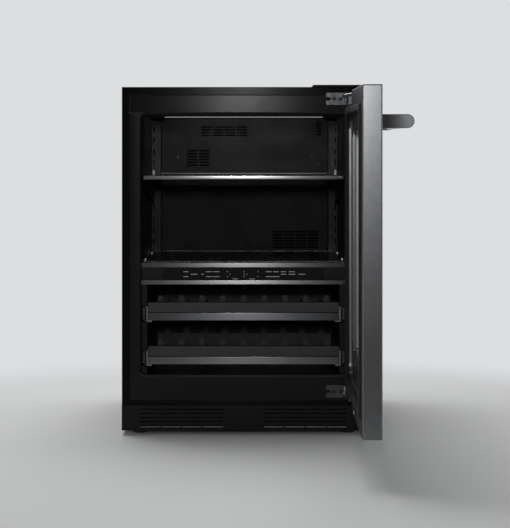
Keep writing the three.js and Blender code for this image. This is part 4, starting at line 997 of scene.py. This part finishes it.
track_face = span("shelf_track_left")[0].y
slot_z = [body_top + 0.4 + 30 + SLOT_PITCH * k for k in range(SLOTS)]
slot_spots = [(sign * SLOT_X, z) for sign in (-1, 1) for z in slot_z]
rims = [slot_rim(x, z, track_face) for x, z in slot_spots]
piece("track_slot_rims", together(*rims), "cabinet", soft_grey)
# each pad is painted shade in its slot
pits = [block((x - 1.9, track_face - 0.15, z - 7.9), (x + 1.9, track_face + 0.4, z + 7.9), 0.1)
        for x, z in slot_spots]
piece("track_slot_pits", together(*pits), "cabinet", slot_shade_black)

# %% [markdown]
# ## Shelf
# A sheet of glass hangs between two brackets. Its front edge sits in a steel strip with a rounded
# nose. A plate with rounded corners could be cut from a drawn outline, but it is quicker as a block whose
# upright edges are rounded first, by much more than the rest. So one helper picks edges by their
# direction, and it serves for nearly every part from here on.

# %% Edges by direction
def round_off(bm, along, radius, segments=4, where=None):
    """Rounds only the edges that run along an axis, and only where a test on their middle holds."""
    axis = "XYZ".index(along)
    chosen = []
    for edge in bm.edges:
        a, b = edge.verts[0].co, edge.verts[1].co
        if abs((b - a).normalized()[axis]) > 0.99 and (where is None or where((a + b) / 2)):
            chosen.append(edge)
    bmesh.ops.bevel(bm, geom=chosen, offset=radius, segments=segments, profile=0.5, affect="EDGES",
                    material=-1)
    return bm


def plate(low, high, along, radius, edge, segments=2):
    """A block whose edges along one axis are rounded to a radius, and the others only softened."""
    return soften(round_off(block(low, high), along, radius, 5), edge, segments, 40)


# %% Shelf
glass0, glass1 = span("shelf_glass")
nose0, nose1 = span("shelf_front_trim")
piece("shelf_plate", plate(glass0, glass1, "Z", 6, 0.8, 3), "cabinet", shelf_clear, ["shelf_glass"])
PLAY = 0.3  # room between the glass and what holds it
under, over, groove = glass0.z - PLAY, glass1.z + PLAY, glass0.y - PLAY
nose = bar([(nose0.y, nose0.z), (nose1.y, nose0.z), (nose1.y, under), (groove, under), (groove, over),
            (nose1.y, over), (nose1.y, nose1.z), (nose0.y, nose1.z)], nose0.x, nose1.x, "X")
round_off(nose, "X", 2.6, 5, lambda m: m.y < nose0.y + 1)
piece("shelf_nose", soften(nose, 0.4, 2, 40), "cabinet", shelf_steel, ["shelf_front_trim"])

# %% [markdown]
# ### Shelf brackets
# Each bracket is a steel plate that tapers to the front, with three round holes to save weight, a lip that
# the glass lies on, and two hooks for the slots behind. The outline is drawn from the side and
# pulled to the plate's thickness, and then the corners that show are rounded.

# %% Shelf brackets
ARM_X, ARM_THICK = 250.5, 3
HOLES = ((330, 604, 13), (270, 611, 10), (215, 617, 7.5))  # depth, height and radius of each
slot_levels = (slot_z[6], slot_z[4])


def bracket(sign, low, high):
    """A tapering plate with a lip for the glass, an upstand behind it, and two hooks."""
    top, back = glass0.z - PLAY, glass1.y + 3
    root = min(high.y, 404.7)
    profile = [(low.y, top - 12), (root, low.z), (root, high.z), (back, high.z), (back, top), (low.y, top)]
    side = bar(profile, sign * (ARM_X - ARM_THICK), sign * ARM_X, "X")
    round_off(side, "X", 5, 4, lambda m: m.z > high.z - 1 or m.y < low.y + 1)
    holes = [stamp(bmesh.new(), turned([(0, -9), (r, -9), (r, 9), (0, 9)], 24),
                   moved(sign * ARM_X, y, z) @ facing((1, 0, 0))) for y, z, r in HOLES]
    side = soften(carved(side, *holes), 0.45, 2, 40)
    lip_x = sorted((sign * (ARM_X - 15), sign * (ARM_X - 0.2)))
    lip = block((lip_x[0], low.y, top - 3), (lip_x[1], glass1.y, top), 0.9, 3)
    hook_x = sorted((sign * (ARM_X - 2.8), sign * (ARM_X - 0.2)))
    hooks = [block((hook_x[0], root - 3, level - 6), (hook_x[1], high.y, level + 4), 0.8, 3)
             for level in slot_levels]
    return together(side, lip, *hooks)


for sign, name in ((-1, "left"), (1, "right")):
    low, high = span(f"shelf_bracket_{name}")
    piece(f"shelf_arm_{name}", bracket(sign, low, high), "cabinet", case_paint,
          [f"shelf_bracket_{name}"])

# %% [markdown]
# Behind the glass, a small steel stop on each bracket keeps it from sliding back, and a thin rail lies
# along its rear edge. They could belong to the brackets' meshes, but they are bare steel on black
# paint, so they are pieces of their own with a finish of their own.

# %% Stops and rear rail
stops = [plate((x - 3.2, glass1.y + 1.2, glass1.z - 3), (x + 3.2, glass1.y + 9, glass1.z + 9.4),
               "Y", 2.4, 0.6) for x in (-248.4, 248.4)]
piece("glass_stops", together(*stops), "cabinet", dark_satin)
back_rail = block((glass0.x + 14, glass1.y - 5, glass1.z + 0.05),
                  (glass1.x - 14, glass1.y - 0.5, glass1.z + 1.2), 0.4)
piece("shelf_back_rail", back_rail, "cabinet", dark_satin)

# %% [markdown]
# ## Divider
# An insulated floor parts the cool zone from the wine zone. A thin glass plate covers it, held by four
# small clips. Its front carries two steel strips with the touch panel between them, set back a
# little so that the strips frame it. The body itself is a CAD node. What lies on it is made of
# plates, and the strips are blocks whose front edges are rounded more than the others.

# %% Divider top and trims
PLATE_HALF, PLATE_BACK = 247, 398  # half the plate's width, and where it ends
body1 = span("divider_body")[1]
strip0, strip1 = span("divider_front_trim")
lower0, lower1 = span("control_lower_trim")
top_plate = plate((-PLATE_HALF, strip1.y + 0.6, body1.z + 0.3), (PLATE_HALF, PLATE_BACK, body1.z + 3.6),
                  "Z", 5, 0.7, 3)
piece("divider_plate", top_plate, "cabinet", plate_black)
rear_edge = block((-PLATE_HALF + 1, PLATE_BACK + 0.4, body1.z + 0.3),
                  (PLATE_HALF - 1, PLATE_BACK + 2.6, body1.z + 4.4), 0.7, 3)
piece("divider_plate_edge", rear_edge, "cabinet", dark_satin)
clips = [plate((x - 4, y, body1.z + 0.2), (x + 4, y + 12, body1.z + 6.4), "Z", 2.6, 1.0, 3)
         for x in (-249.5, 249.5) for y in (70, 322)]
piece("divider_clips", together(*clips), "cabinet", slide_chrome)


def steel_strip(low, high):
    """A strip whose two front edges are rounded more than its ends."""
    strip = round_off(block(low, high), "X", 0.8, 4, lambda m: m.y < low.y + 0.5)
    return soften(strip, 0.4, 2, 60)


piece("divider_strip", steel_strip(strip0, strip1), "cabinet", trim_steel,
      ["divider_front_trim"])
piece("control_strip", steel_strip(lower0, lower1), "cabinet", edge_steel,
      ["control_lower_trim"])

# %% [markdown]
# ### Touch panel
# A sheet of black glass with slanted ends lies between two moulded end pieces. Two small displays, dark when
# nothing is set, sit in the middle. The joints are gaps of less than half a millimetre, which is
# enough for a dark line.

# %% Touch panel
panel0, panel1 = span("control_panel")
HALF, SLANT, JOINT = 197.0, 4, 0.4
centre = bar([(-HALF - SLANT, panel0.z), (HALF + SLANT, panel0.z), (HALF, panel1.z), (-HALF, panel1.z)],
             panel0.y, panel1.y, "Y", 0.5, 3)
piece("control_glass", centre, "cabinet", touch_glass, ["control_panel"])
ends = []
for sign in (-1, 1):
    side = [(HALF + SLANT + JOINT, panel0.z), (panel1.x, panel0.z), (panel1.x, panel1.z),
            (HALF + JOINT, panel1.z)]
    ends.append(bar([(sign * x, z) for x, z in side], panel0.y + 0.2, panel1.y, "Y", 0.5, 3))
piece("control_ends", together(*ends), "cabinet", liner_plastic)
displays = [plate((x, panel0.y - 0.12, panel0.z + 7), (x + 21, panel0.y + 0.5, panel1.z - 4),
                  "Y", 1.6, 0.08, 1) for x in (-28, 14)]
piece("control_displays", together(*displays), "cabinet", touch_glass)

# %% [markdown]
# ### Marks
# The marks on the touch panel are plain: dashes where a control has a label, dots where it has a lamp.
# Print could be a texture, but as thin plates the marks stay sharp from any distance. They stand only
# a tenth of a millimetre proud.

# %% Control marks
ROWS = [panel0.z + 20.4, panel0.z + 14.1, panel0.z + 8.2, panel0.z + 2.6]
# each dash has a left end, a length and a row; each dot has a place and a row
dashes = [(-150, 12, 0), (-132, 17, 1), (-106, 7, 1), (-150, 12, 2), (-94, 15, 0), (-76, 16, 0),
          (-94, 15, 2), (-77, 17, 2), (-27, 13, 3), (15, 13, 3), (56, 14, 0), (74, 14, 0), (93, 13, 0),
          (113, 15, 0), (93, 13, 1), (112, 17, 1), (137, 17, 1), (55, 35, 2)]
dots = [(-40, 0), (-34, 1), (-40, 2), (1, 0), (1, 1), (8, 1), (1, 2), (36, 0), (36, 2)]
marks = [plate((x, panel0.y - 0.1, ROWS[row] - 0.75), (x + wide, panel0.y + 0.2, ROWS[row] + 0.75), "Y", 0.7,
               0.04, 1) for x, wide, row in dashes]
marks.append(stamp(bmesh.new(), turned([(0, 0.1), (1.0, 0.1), (1.1, 0), (1.1, -0.2), (0, -0.2)], 16),
                   *[moved(x, panel0.y, ROWS[row]) @ facing((0, -1, 0)) for x, row in dots]))
piece("control_marks", together(*marks), "cabinet", print_grey)

# %% [markdown]
# ## Wine racks
# Each rack is a frame of coated steel: two side rails, a comb in front and one behind, and nine rods
# between them that the bottles lie on. A comb could be a bar with tabs joined on, but real ones are cut
# from one sheet, so the whole outline is drawn and pulled to the sheet's thickness. The frame is drawn
# once for a level and a length and used for both racks.

# %% Rack frame
TABS, TAB_PITCH, TAB_HIGH = 9, 52.0, 21.5
tab_x = [(k - 4) * TAB_PITCH for k in range(TABS)]
# section of the runner in the slide, from the middle of the cabinet and from the slide's level
RUNNER = [(237.5, -14.2), (243, -14.2), (243, -12.7), (240, -12.7), (240, 12.7), (243, 12.7), (243, 14.2),
          (237.5, 14.2)]


def comb(y, top, low):
    """A bar with tapering tabs that keep the bottles apart."""
    reach = 234.0
    outline = [(-reach, low), (reach, low), (reach, top)]
    for x in reversed(tab_x):
        outline += [(x + 9, top), (x + 6, top + TAB_HIGH), (x - 6, top + TAB_HIGH), (x - 9, top)]
    outline.append((-reach, top))
    cut = bar(outline, y, y + 3, "Y")
    round_off(cut, "Y", 3.5, 4, lambda m: m.z > top + 10)
    return soften(cut, 0.5, 2, 35)


def rack_frame(level, low, high):
    """Both combs, the side rails with their channels for the slides, and the rods."""
    top = high.z - TAB_HIGH
    parts = [comb(low.y, top, low.z), comb(high.y - 3, top, low.z)]
    for sign in (-1, 1):
        x = sorted((sign * 233.5, sign * 238.2))
        parts.append(block((x[0], low.y, low.z), (x[1], high.y, top), 1.0, 3))
        runner = [(sign * x, level + z) for x, z in RUNNER]
        parts.append(bar(runner, low.y, high.y - 6, "Y", 0.35, 2))
    length = high.y - low.y - 3
    rod = turned([(0, 0), (2.4, 0), (3, 0.8), (3, length - 0.8), (2.4, length), (0, length)], 16)
    parts.append(stamp(bmesh.new(), rod, *[moved(x, low.y + 1.5, level - 4) @ facing((0, 1, 0))
                                           for x in tab_x]))
    return together(*parts)


# %% [markdown]
# ### Slides
# A telescopic slide is a set of channels that run in each other: one is screwed to the wall, the
# middle one goes half the way, and the rack carries the last. Each channel's section is drawn once and
# pulled along the slide. The middle one rides on a body of its own, so it follows at half the speed.

# %% Slides
def channel(sign, inner, outer, half, level, start, end, sheet=1.5):
    """A steel channel along Y, open towards the middle of the cabinet."""
    outline = [(sign * inner, level - half), (sign * outer, level - half), (sign * outer, level + half),
               (sign * inner, level + half), (sign * inner, level + half - sheet),
               (sign * (outer - sheet), level + half - sheet), (sign * (outer - sheet), level - half + sheet),
               (sign * inner, level - half + sheet)]
    return bar(outline, start, end, "Y", 0.4, 2)


def slide_pair(rack, level):
    """The fixed and the middle channel on both sides, with pads to the wall and rivets."""
    for sign, side in ((-1, "left"), (1, "right")):
        low, high = span(f"{rack}_slide_fixed_{side}")
        rail = channel(sign, 240.5, 247.9, 18, level, low.y, high.y)
        x = sorted((sign * 247.4, sign * 256.2))
        pads = [block((x[0], y, level - 18), (x[1], y + 20, level + 18), 1.2, 3)
                for y in (low.y + 30, high.y - 50)]
        rivet_spots = [(sign * 246.4, y, level) for y in (low.y + 40, high.y - 40)]
        rivets = screws(3.4, (-sign, 0, 0), rivet_spots, 1.0)
        # the channels take the dark hinge steel as painted shade, because their fronts stand in shadow
        piece(f"{rack}_rail_fixed_{side}", together(rail, *pads, rivets), "cabinet", hinge_steel_and_shade,
              [f"{rack}_slide_fixed_{side}"])
        low, high = span(f"{rack}_slide_middle_{side}")
        middle = channel(sign, 239.9, 244.9, 16.1, level, low.y, high.y)
        piece(f"{rack}_rail_middle_{side}", middle, f"{rack}_slides", hinge_steel_and_shade,
              [f"{rack}_slide_middle_{side}"])


# %% [markdown]
# ### Rack fronts
# The front of a rack is a dark board with a steel strip below it. At each end a pressed cap hooks over the
# slide. The board's upper front edge is rounded most, because a hand pulls there. A cap could be
# bent from a flat plate, but its section never changes, so it is drawn once and mirrored by its sign.

# %% Rack fronts
CAP = [(229, -20), (240.8, -20), (242.8, -18), (242.8, 19), (239.2, 19), (239.2, -16.3), (229, -16.3)]


def rack_front(rack, level):
    """The board, the strip and the two caps of one rack."""
    low, high = span(f"{rack}_rack_fascia")
    board = round_off(block(low, high), "X", 3.2, 5, lambda m: m.y < low.y + 1 and m.z > high.z - 1)
    round_off(board, "Y", 1.6, 3, lambda m: m.z > high.z - 4)
    piece(f"{rack}_rack_board", soften(board, 0.5, 2, 40), f"{rack}_rack", soft_grey,
          [f"{rack}_rack_fascia"])
    low, high = span(f"{rack}_rack_trim")
    piece(f"{rack}_rack_strip", steel_strip(low, high), f"{rack}_rack", rack_steel,
          [f"{rack}_rack_trim"])
    caps = []
    for sign in (-1, 1):
        cap = bar([(sign * x, level + z) for x, z in CAP], 13.5, 17.4, "Y")
        round_off(cap, "Y", 1.2, 3)
        caps.append(soften(cap, 0.5, 2, 50))
    piece(f"{rack}_slide_caps", together(*caps), f"{rack}_rack", dark_satin)


for rack in RACKS:
    low, high = span(f"{rack}_slide_fixed_left")
    level = (low.z + high.z) / 2
    cradle = rack_frame(level, *span(f"{rack}_rack_frame"))
    piece(f"{rack}_rack_cradle", cradle, f"{rack}_rack", dark_wire, [f"{rack}_rack_frame"])
    slide_pair(rack, level)
    rack_front(rack, level)

# %% [markdown]
# ## Kick grille
# Air for the machinery comes in through a slotted plate at the foot. Forty slots are cut in one go with
# a boolean, since bridging forty holes by hand would gain nothing. Slanted blades stand behind them, and
# a dark foam filter keeps dust out and hides the machinery.

# %% Grille
VENT_WIDE, VENT_HIGH = 49, 5
FIRST_VENT, VENT_STEP, VENTS = 51, 52.5, 4  # on each side of the middle
ROW_STEP, ROWS_OF_VENTS = 10.4, 5
kick_front = kick0.y + 1.5
row_z = [kick0.z + 8.05 + row * ROW_STEP for row in range(ROWS_OF_VENTS)]
sheet = block((kick0.x, kick_front, kick0.z), (kick1.x, kick1.y, kick1.z))
slots = []
for sign in (-1, 1):
    for cell in range(VENTS):
        near = FIRST_VENT + cell * VENT_STEP
        x = sorted((sign * near, sign * (near + VENT_WIDE)))
        slots += [round_off(block((x[0], -9, z), (x[1], 9, z + VENT_HIGH)), "Y", 1.2, 3) for z in row_z]
grille = carved(sheet, *slots)
round_off(grille, "X", 0.9, 3, lambda m: m.y < kick_front + 0.5 and m.z > kick1.z - 1)
centre = plate((-45, kick0.y, kick0.z + 14), (45, kick_front + 0.6, kick1.z - 4), "Y", 3, 0.5, 3)
blades = []
for sign in (-1, 1):
    x = sorted((sign * 50, sign * 258.5))
    for z in row_z:
        section = [(kick1.y - 2, z + 5.4), (kick1.y - 1, z + 5.4), (1.2, z + 1.2), (0.2, z + 1.2)]
        blades.append(bar(section, *x, "X", 0.2, 1))
piece("kick_plate", together(grille, centre, *blades), "cabinet", case_paint, ["kick_grille"])
filters = [block((x, 1.9, 27.6), (x + 213, 3.6, kick1.z - 3), 0.5) for x in (-261, 48)]
piece("air_filter", together(*filters), "cabinet", seal_rubber)
print("air slots:", len(slots))

# %% [markdown]
# ## Hinges
# Each corner hinge has a screwed plate with an arm that ends in a pin on the cabinet, and a block with a
# bore in the door. A bent steel loop on the plate keeps the door from being lifted off its pin. The
# notch at the plate's left end lets a fitter hang the plate on its first screw. Plates and arms are
# outlines pulled straight, pins and bores are turned about the same axis that the door turns on, and
# the loop is a tube.

# %% Hinge parts
def rounded_prism(outline, low, high, edge, *holes):
    """An upright prism with softened edges, bored where holes are given."""
    body = bar(outline, low, high, "Z")
    return soften(carved(body, *holes), edge, 2, 35) if holes else soften(body, edge, 2, 35)


def on_pivot(low, high, radius, corner, steps):
    """A turned part on the hinge's axis with its rims broken."""
    return stamp(bmesh.new(), turned([(0, low), (radius - corner, low), (radius, low + corner),
                                      (radius, high - corner), (radius - corner, high), (0, high)], steps),
                 moved(PIVOT.x, PIVOT.y, 0))


# %% Hinges on the cabinet
def hinge_bracket(where, arm_low, pin_low, plate_low):
    """The plate, arm, boss and pin of one hinge, with its screws and its loop."""
    left, right = 205.0, 270.0
    middle = plate_low + 15.5
    body = block((left, -4.3, plate_low), (right, -0.3, plate_low + 31))
    round_off(body, "Y", 4, 4)
    notch = round_off(block((left - 8, -9, middle - 4.2), (left + 12, 9, middle + 4.2)), "Y", 4.1, 5)
    body = soften(carved(body, notch), 0.5, 2, 40)
    arm = rounded_prism([(246, -0.4), (246, -6.3), (PIVOT.x - 8, PIVOT.y), (PIVOT.x + 8, PIVOT.y),
                         (right, -6.3), (right, -0.4)], arm_low, arm_low + 8, 0.7)
    boss = on_pivot(arm_low, arm_low + 8, 8, 0.8, 32)
    pin = on_pivot(pin_low, pin_low + 24, 5.0, 0.8, 28)
    piece(f"hinge_bracket_{where}_shape", together(body, arm, boss, pin), "cabinet", hinge_steel_and_shade,
          [f"hinge_bracket_{where}"])
    heads = screws(4.6, (0, -1, 0), [(x, -4.3, middle) for x in (left + 20, left + 37)], 1.8)
    piece(f"hinge_screws_{where}", heads, "cabinet", dark_wire)
    tilt = 3.5 if where == "top" else -3.5
    near, far = right - 19, right + 3
    link = tube([(far, -6.0, middle + 10 + tilt), (near, -6.0, middle + 10), (near, -6.0, middle - 10),
                 (far, -6.0, middle - 10 - tilt)], 1.5, 3.0)
    piece(f"hinge_link_{where}", link, "cabinet", slide_chrome)


hinge_bracket("top", arm_low=840.0, pin_low=824.0, plate_low=822.0)
hinge_bracket("bottom", arm_low=93.6, pin_low=93.6, plate_low=93.6)


# %% Hinges in the door
def hinge_cup(where):
    """The block in the door that turns about the pin."""
    low, high = span(f"hinge_cup_{where}", shut=True)
    outline = [(low.x, low.y), (high.x, low.y), (high.x, high.y - 12), (high.x - 12, high.y), (low.x, high.y)]
    bore = [(0, low.z - 3), (5.3, low.z - 3), (5.3, high.z + 3), (0, high.z + 3)]
    hole = stamp(bmesh.new(), turned(bore, 32), moved(PIVOT.x, PIVOT.y, 0))
    body = rounded_prism(outline, low.z, high.z, 0.6, hole)
    piece(f"hinge_cup_{where}_shape", body, "door", hinge_steel_and_shade, [f"hinge_cup_{where}"], shut=True)
    spots = [(low.x + 14, high.y, (low.z + high.z) / 2), (low.x + 62, high.y, (low.z + high.z) / 2)]
    piece(f"hinge_cup_screws_{where}", screws(4.2, (0, 1, 0), spots, 0.7), "door", dark_wire,
          shut=True)


for where in ("top", "bottom"):
    hinge_cup(where)

# %% [markdown]
# ## Door
# The door's skin is one steel sheet folded round a frame of foam, with a window in the middle. Its section
# is the same all round, so the whole ring is one closed loft: out round the edges, in over the
# front, down the window's edge, under the lip that holds the panes, and back up to the recess for
# the inner frame. A slab with a hole cut in it would have sharp corners where the real sheet is bent.
# The room for the hinges is cut last.

# %% Door outlines
# each outline is its left, right, lower and upper side
WINDOW = (-221.0, 221.0, 232.0, 755.0)
RETAINER = (-248.0, 248.0, 157.0, 796.0)
SEAL = (-265.0, 265.0, 140.0, 813.0)
LEAF = (door0.x, door1.x, door0.z, door1.z)
front, back = door0.y, door1.y
print(f"window {WINDOW[1] - WINDOW[0]} x {WINDOW[3] - WINDOW[2]} in a door {back - front:.1f} thick")


def ring(stations):
    """A closed ring lofted through (outline, growth, y, corner radius) stations."""
    return loft([(x0 - by, x1 + by, z0 - by, z1 + by, y, radius)
                 for (x0, x1, z0, z1), by, y, radius in stations], closed=True, steps=7)


# %% Door skin
skin = ring([
    (LEAF, -3.0, back - 0.5, 3.0), (LEAF, -1.5, back - 0.9, 3.2), (LEAF, -0.4, back - 2.0, 3.4),
    (LEAF, 0, back - 3.4, 3.5), (LEAF, 0, front + 3.2, 3.5), (LEAF, -0.4, front + 1.6, 3.4),
    (LEAF, -1.4, front + 0.5, 3.2), (LEAF, -3.0, front, 3.0),
    (WINDOW, 2.4, front, 30.4), (WINDOW, 1.0, front + 0.3, 29), (WINDOW, 0.25, front + 1.1, 28.3),
    (WINDOW, 0, front + 2.2, 28), (WINDOW, 0, front + 6.2, 28), (WINDOW, 0.5, front + 6.7, 28.2),
    (WINDOW, 14.3, front + 6.7, 8), (WINDOW, 14.3, back - 12.2, 8), (RETAINER, 0.3, back - 12.2, 8),
    (RETAINER, 0.3, back - 0.5, 8),
])
inside = ring([(LEAF, -2.6, back - 0.45, 2.6), (LEAF, -2.8, back, 2.6), (RETAINER, 0.9, back, 8.6),
               (RETAINER, 0.3, back - 0.45, 8)])


def hinge_pockets():
    """The room for each hinge, and a shallow channel beside it."""
    over, under = (819.3, door1.z + 3), (door0.z - 3, 122.6)
    return [block((x0, y, low), (x1, 3, high)) for x0, x1, y, (low, high) in (
        (203, door1.x + 2, front + 3, over), (203, door1.x - 3, front + 3, under),
        (62, 204, back - 16, over), (62, 204, back - 16, under))]


piece("door_skin", carved(skin, *hinge_pockets()), "door", shaded_door_steel, ["door_frame"],
      shut=True)
piece("door_back_skin", carved(inside, *hinge_pockets()), "door", soft_grey, shut=True)
piece("door_foot_screw", screws(3.6, (0, 1, 0), [(-21, back, door0.z + 11)], 1.6), "door", slide_chrome,
      shut=True)

# %% [markdown]
# ### Inner frame and sleeve
# A dark plastic frame holds the panes from inside. Round its rim the door's lining ends in a rolled
# edge, and a sleeve leads from there down to the glass. All three are rings with the window's outline,
# so each is a list of stations for the same loft.

# %% Inner frame and sleeve
pane_face = back - 11.7
rim = ring([(RETAINER, 0, back - 4.6, 8), (RETAINER, 0, back - 0.6, 8), (RETAINER, -0.6, back, 8),
            (RETAINER, -3.4, back, 30), (RETAINER, -4.2, back - 0.4, 31), (RETAINER, -4.4, back - 1.2, 31),
            (RETAINER, -4.4, back - 4.6, 31)])
piece("door_inner_rim", rim, "door", liner_plastic, shut=True)
sleeve = ring([(RETAINER, 0, back - 4.7, 8), (RETAINER, -4.6, back - 4.7, 31),
               (RETAINER, -4.6, back - 9.4, 31), (RETAINER, -5.2, back - 10.5, 31),
               (RETAINER, -6.6, back - 10.9, 31),
               (WINDOW, 1.0, back - 10.9, 28), (WINDOW, 0.2, back - 11.2, 28), (WINDOW, 0, pane_face, 28),
               (RETAINER, 0, pane_face, 8)])
piece("window_sleeve", sleeve, "door", dark_satin, ["door_inner_frame"], shut=True)

# %% [markdown]
# ### Spacer and seal
# Between the panes lies a bright metal spacer with a rubber seal and a bead beside it, which show
# through the glass as bands. The door's seal is a soft hollow profile with bellows. It isn't a cushion: it
# keeps its shape until the door squeezes it, so it is modelled as it stands free.

# %% Spacer
def spacer_ring(low, high):
    """Part of the spacer between the panes, between two depths."""
    return ring([(WINDOW, 14.1, low, 9), (WINDOW, 4.4, low, 6), (WINDOW, 4.4, high, 6),
                 (WINDOW, 14.1, high, 9)])


spacer0, spacer1 = span("glazing_spacer", shut=True)
piece("spacer_bar", spacer_ring(spacer0.y + 0.05, -29.2), "door", spacer_bright,
      ["glazing_spacer"], shut=True)
piece("spacer_seal", spacer_ring(-29.15, -27.6), "door", seal_rubber, shut=True)
piece("spacer_bead", spacer_ring(-27.55, spacer1.y - 0.05), "door", dark_satin, shut=True)

# %% Seal
# each point is how far inward it lies and how far it rises
bellows = [(0, 0), (0, 1.0), (1.6, 1.5), (0.4, 2.1), (1.8, 2.8), (1.2, 3.6), (2.4, 4.4), (5, 4.7), (11, 4.7),
           (13.6, 4.4), (14.8, 3.6), (14.2, 2.8), (15.6, 2.1), (14.4, 1.5), (16, 1.0), (16, 0)]
seal = ring([(SEAL, -inward, back + 0.3 + rise, max(3.0, 7 - inward * 0.25)) for inward, rise in bellows])
piece("door_seal", seal, "door", seal_rubber, ["door_gasket"], shut=True)

# %% [markdown]
# ## Handle
# A round bar runs between two flat brackets with half-round noses. The brackets' outer faces are
# slightly dished, which grades the light along them. A flat face has no points to move, so a few cuts
# across it come first, and then each point moves in by a smooth curve that starts at the nose.

# %% Handle
CUTS = 12


def dished(along):
    """How far in a bracket's outer face lies, from 0 at the door to 1 at the nose, over its length."""
    return 0.17 * along - 0.195 * along ** 2 + 0.065 * along ** 3


bar0, bar1 = span("handle_bar", shut=True)
axis_y, axis_z = (bar0.y + bar1.y) / 2, (bar0.z + bar1.z) / 2
grip = turned([(0, bar0.x), (13.4, bar0.x), (14, bar0.x + 0.6), (14, bar1.x - 0.6), (13.4, bar1.x),
               (0, bar1.x)], 48)
grip = stamp(bmesh.new(), grip, moved(0, axis_y, axis_z) @ facing((1, 0, 0)))
piece("handle_grip", grip, "door", shaded_handle_steel, ["handle_bar"], shut=True)
for side, sign in (("hinge", 1), ("latch", -1)):  # which side, and which way is outwards
    low, high = span(f"handle_bracket_{side}_side", shut=True)
    bow = round_off(block(low, high), "X", 14.9, 12, lambda m: m.y < low.y + 1)
    for step in range(1, CUTS):
        y = low.y + step * (high.y - low.y - 8) / CUTS
        bmesh.ops.bisect_plane(bow, geom=bow.verts[:] + bow.edges[:] + bow.faces[:], plane_co=(0, y, 0),
                               plane_no=(0, 1, 0))
    outside = high.x if sign > 0 else low.x
    for vertex in bow.verts:
        if abs(vertex.co.x - outside) < 0.01:
            along = (high.y - vertex.co.y) / (high.y - low.y)
            vertex.co.x -= sign * (high.y - low.y) * dished(along)
    piece(f"handle_bracket_{side}", soften(bow, 1.1, 3, 40), "door", shaded_handle_steel,
          [f"handle_bracket_{side}_side"], shut=True)

# %% [markdown]
# ## Feet, back and inlet
# What nobody sees from the front still has to be right from behind and below. The feet are turned. A
# thread could be a screw modifier's helix, but at this size plain rings look the same and close
# properly, so the stem's profile zigzags.

# %% Feet
leg0, leg1 = span("levelling_leg_front_left")
leg2, leg3 = span("levelling_leg_rear_right")
spots = [moved(x, y, 0) for x in (-262, 262) for y in ((leg0.y + leg1.y) / 2, (leg2.y + leg3.y) / 2)]
foot = turned([(0, 0), (15.5, 0), (18, 0.8), (19, 3.2), (18.4, 6.4), (16.5, 8), (10.5, 9), (9.4, 10.4),
               (0, 10.4)], 40)
legs = [f"levelling_leg_{end}_{side}" for end in ENDS for side in SIDES]
piece("levelling_feet", stamp(bmesh.new(), foot, *spots), "cabinet", foot_rubber, legs)
thread = [(0, 9.5)]
for k in range(16):
    thread += [(5.0, 10 + k * 2.0), (6.0, 11 + k * 2.0)]
thread += [(5.0, 42.5), (0, 42.5)]
nut = turned([(6, 24), (10.2, 24), (11, 25), (11, 30), (10.2, 31), (6, 31)], 6)
stem = together(turned(thread, 24), nut)
piece("levelling_stems", stamp(bmesh.new(), stem, *spots), "cabinet", zinc_plate)

# %% [markdown]
# ### Back sheet
# A large thin sheet would rattle, so ribs are pressed into it. Hoods stand out over its air slots, open
# downwards so that nothing falls in. Ribs are flat rounded plates that sink into the sheet, and each hood
# is a small wedge drawn from the side.

# %% Back sheet
rear1 = span("rear_panel")[1]
skin_y = rear1.y
ribs = [plate((-262, skin_y - 0.4, z), (262, skin_y + 1.5, z + 13), "Y", 6, 1.0, 3) for z in (330, 520, 710)]
piece("rear_ribs", together(*ribs), "cabinet", zinc_plate)
HOOD = [(-0.3, 2.6), (2.0, 1.0), (2.2, 2.0), (0.2, 6.6), (-0.3, 6.6)]
hoods = [bar([(skin_y + out, z + up) for out, up in HOOD], column - 47, column + 47, "X", 0.3, 2)
         for column in (-210, -70, 70) for z in range(105, 189, 14)]
piece("rear_hoods", together(*hoods), "cabinet", zinc_plate)
edge_x = rear1.x - 12
holding = [(sign * edge_x, skin_y, z) for sign in (-1, 1) for z in (30, 240, 440, 640, 850)]
holding += [(x, skin_y, rear1.z - 12) for x in (-120, 120)]
piece("rear_screws", screws(4.5, (0, 1, 0), holding, 2.0), "cabinet", hinge_steel_and_shade)

# %% [markdown]
# ### Mains inlet
# The lead is a loose one, so the back has a socket for it: a flange, a shroud behind it, and three flat
# pins in a recess. The recess is cut through both, from two copies of one block, because a cut uses
# its cutter up.

# %% Mains inlet
inlet0, inlet1 = span("power_inlet")
centre_x, centre_z = (inlet0.x + inlet1.x) / 2, (inlet0.z + inlet1.z) / 2
flange = plate((inlet0.x, inlet1.y - 2.6, inlet0.z), (inlet1.x, inlet1.y, inlet1.z), "Y", 4, 0.5, 2)
shroud = block((inlet0.x + 6, inlet0.y, inlet0.z + 5), (inlet1.x - 6, inlet1.y - 1, inlet1.z - 5))
mouth = block((centre_x - 18, inlet0.y + 8, centre_z - 8.5), (centre_x + 18, inlet1.y + 3, centre_z + 8.5))
mouth = round_off(mouth, "Y", 3.5, 4)
second_mouth = mouth.copy()
body = together(soften(carved(flange, mouth), 0.3, 1, 50), carved(shroud, second_mouth))
piece("mains_inlet", body, "cabinet", liner_plastic, ["power_inlet"])
pins = [(centre_x + dx, centre_z + dz) for dx, dz in ((-8, -1), (0, 2.4), (8, -1))]
pins = [plate((x - 1, inlet0.y + 6, z - 2.8), (x + 1, inlet1.y - 6, z + 2.8), "Y", 0.4, 0.2, 1)
        for x, z in pins]
piece("mains_pins", together(*pins), "cabinet", zinc_plate)
